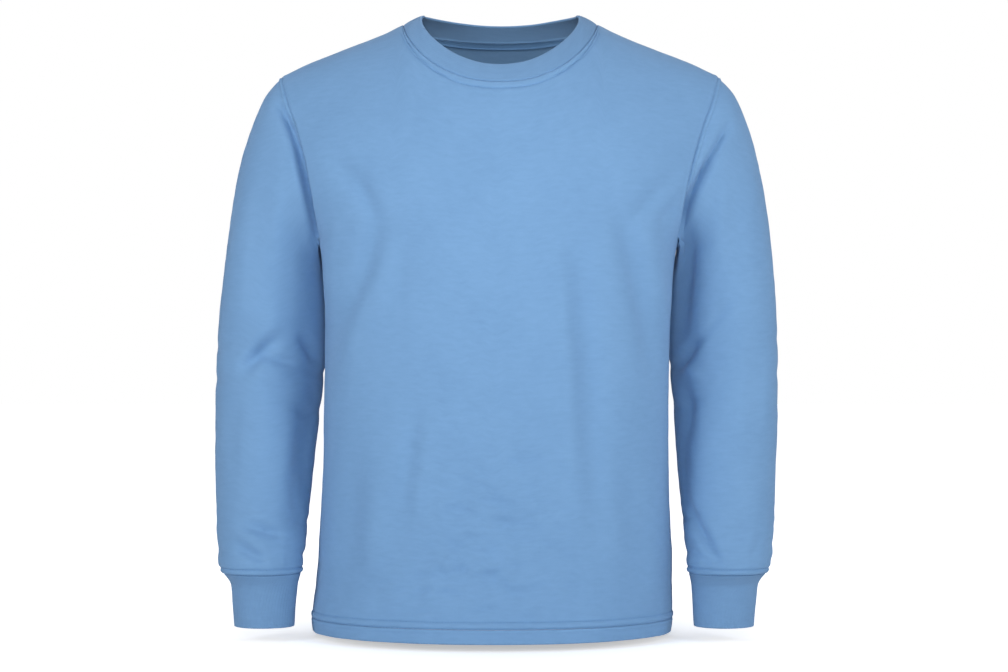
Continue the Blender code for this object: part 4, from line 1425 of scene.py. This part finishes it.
def threadMaterial():
    material, tree, shader = newMaterial("sweatshirt_thread")
    place = addNode(tree, "ShaderNodeTexCoord")
    twist = noiseNode(tree, place.outputs["Object"], 900.0, detail=2.0)
    tone = carry(tree, twist, (0.3, 0.7), (0.85, 1.12))
    colour = addNode(tree, "ShaderNodeCombineColor")
    for channel, value in zip(("Red", "Green", "Blue"), thread["colour"]):
        tree.links.new(mathNode(tree, "MULTIPLY", tone, value), colour.inputs[channel])
    tree.links.new(colour.outputs[0], shader.inputs["Base Color"])
    tree.links.new(bump(tree, twist, 0.0001, 0.7), shader.inputs["Normal"])
    tree.links.new(carry(tree, twist, (0.0, 1.0), (0.55, 0.75)), shader.inputs["Roughness"])
    return material


materials = {name: clothMaterial(name) for name in finishes}
materials["thread"] = threadMaterial()
print("materials made")

# What each piece rides on and stands for
sheets = {
    "front_panel": {"flat": (0.560, 0.690), "area": 0.330, "trim": ("neck_stitches", "hem_stitches")},
    "back_panel": {"flat": (0.545, 0.695), "area": 0.328, "trim": ("tape_stitches",)},
    "hem_band_front": {"flat": (0.530, 0.018), "area": None, "trim": ()},
    "hem_band_back": {"flat": (0.505, 0.018), "area": None, "trim": ()},
    "neckband": {"flat": (0.560, 0.028), "area": None, "trim": ()},
    "sleeve_left": {"flat": (0.440, 0.600), "area": 0.178, "trim": ("cuff_stitches_left",)},
    "sleeve_right": {"flat": (0.440, 0.600), "area": 0.178, "trim": ("cuff_stitches_right",)},
    "cuff_left": {"flat": (0.207, 0.062), "area": None, "trim": ()},
    "cuff_right": {"flat": (0.207, 0.062), "area": None, "trim": ()},
    "neck_tape": {"flat": (0.195, 0.0105), "area": None, "trim": ()},
}
for name, made in shown.items():
    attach(made, "root")
    if name in sheets:
        made.data.materials.append(materials[pieces[name]["slot"]])
        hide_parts(name)
    else:
        made.data.materials.append(materials["thread"])

# Floor, light and camera
studio = {
    "floorDrop": 0.0045,
    "floorReach": 9.0,
    "floorColour": (0.90, 0.90, 0.90, 1.0),
    "floorGlow": (0.47, 1.0),       # keeps the floor white where the camera sees it, near and far
    "floorNear": (0.12, 0.48),      # distances for those
    "ambient": 0.10,
    "ambientColour": (0.25, 0.50, 1.0, 1.0),
    "eyePlace": (0.0073, -2.6656, -0.3472),
    "lens": 85.0,
}
# place, point lit, width and height, power
softBoxes = {
    "side_right": ((-2.15, -1.90, 0.55), (0.0, 0.0, -0.32), (1.1, 1.7), 33.0),
    "side_left": ((2.15, -1.90, 0.55), (0.0, 0.0, -0.32), (1.1, 1.7), 26.5),
    "flat_left": ((2.80, -0.50, 0.20), (0.0, 0.0, -0.32), (1.0, 1.8), 10.0),
    "front": ((0.0, -3.0, 0.15), (0.0, 0.0, -0.25), (0.9, 0.6), 24.0),
    "top": ((0.0, 0.5, 2.0), (0.0, 0.0, -0.2), (2.2, 1.6), 14.0),
}
chestLamp = {"place": (0.0, -3.0, 0.15), "aim": (0.0, 0.0, -0.20), "power": 42.0, "spread": 17,
             "radius": 0.25}
white = (1.0, 1.0, 1.0, 1.0)


def addFloor():
    height, reach = cadLow.z - studio["floorDrop"], studio["floorReach"]
    mesh = bpy.data.meshes.new("studio_floor")
    corners = [(x * reach, y * reach, height) for x, y in ((-1, -1), (1, -1), (1, 1), (-1, 1))]
    mesh.from_pydata(corners, [], [(0, 1, 2, 3)])
    floor = bpy.data.objects.new("studio_floor", mesh)
    bpy.context.scene.collection.objects.link(floor)
    material, tree, shader = newMaterial("studio_floor")
    shader.inputs["Base Color"].default_value = studio["floorColour"]
    shader.inputs["Roughness"].default_value = 0.9
    shader.inputs["Specular IOR Level"].default_value = 0.0
    shader.inputs["Emission Color"].default_value = white
    seen = addNode(tree, "ShaderNodeLightPath").outputs["Is Camera Ray"]
    place = addNode(tree, "ShaderNodeTexCoord").outputs["Object"]
    away = addNode(tree, "ShaderNodeVectorMath", [(0, place), (1, (0.0, 0.0, height))], operation="DISTANCE")
    fade = carry(tree, away.outputs["Value"], studio["floorNear"], studio["floorGlow"])
    tree.links.new(mathNode(tree, "MULTIPLY", seen, fade), shader.inputs["Emission Strength"])
    mesh.materials.append(material)


# The world lights the cloth faintly blue, and the camera sees it white.
def addWorld():
    world = bpy.data.worlds.new("studio")
    bpy.context.scene.world = world
    world.use_nodes = True
    tree = world.node_tree
    ambient = tree.nodes["Background"]
    ambient.inputs["Color"].default_value = studio["ambientColour"]
    ambient.inputs["Strength"].default_value = studio["ambient"]
    seen = addNode(tree, "ShaderNodeBackground", [("Color", white), ("Strength", 1.0)])
    rays = addNode(tree, "ShaderNodeLightPath")
    either = addNode(tree, "ShaderNodeMixShader",
                     [(0, rays.outputs["Is Camera Ray"]), (1, ambient.outputs[0]), (2, seen.outputs[0])])
    tree.links.new(either.outputs[0], tree.nodes["World Output"].inputs["Surface"])


def aimed(name, light, place, aim):
    lamp = bpy.data.objects.new(name, light)
    lamp.location = place
    lamp.rotation_euler = (Vector(aim) - Vector(place)).to_track_quat("-Z", "Y").to_euler()
    bpy.context.scene.collection.objects.link(lamp)


def addLights():
    for name, (place, aim, size, power) in softBoxes.items():
        light = bpy.data.lights.new(name, "AREA")
        light.shape = "RECTANGLE"
        light.size, light.size_y = size
        light.energy = power
        aimed(name, light, place, aim)
    light = bpy.data.lights.new("chest", "SPOT")
    light.energy = chestLamp["power"]
    light.spot_size = math.radians(chestLamp["spread"])
    light.spot_blend = 1.0
    light.shadow_soft_size = chestLamp["radius"]
    aimed("chest", light, chestLamp["place"], chestLamp["aim"])


def addCamera():
    eye = bpy.data.cameras.new("eye")
    eye.lens = studio["lens"]
    eye.sensor_width = 36.0
    eye.sensor_fit = "HORIZONTAL"
    eye.clip_end = 60.0
    camera = bpy.data.objects.new("eye", eye)
    camera.location = studio["eyePlace"]
    camera.rotation_euler = (math.pi / 2, 0.0, 0.0)
    bpy.context.scene.collection.objects.link(camera)
    bpy.context.scene.camera = camera


addFloor()
addWorld()
addLights()
addCamera()
bpy.context.scene.view_settings.view_transform = "Standard"
print("studio set")
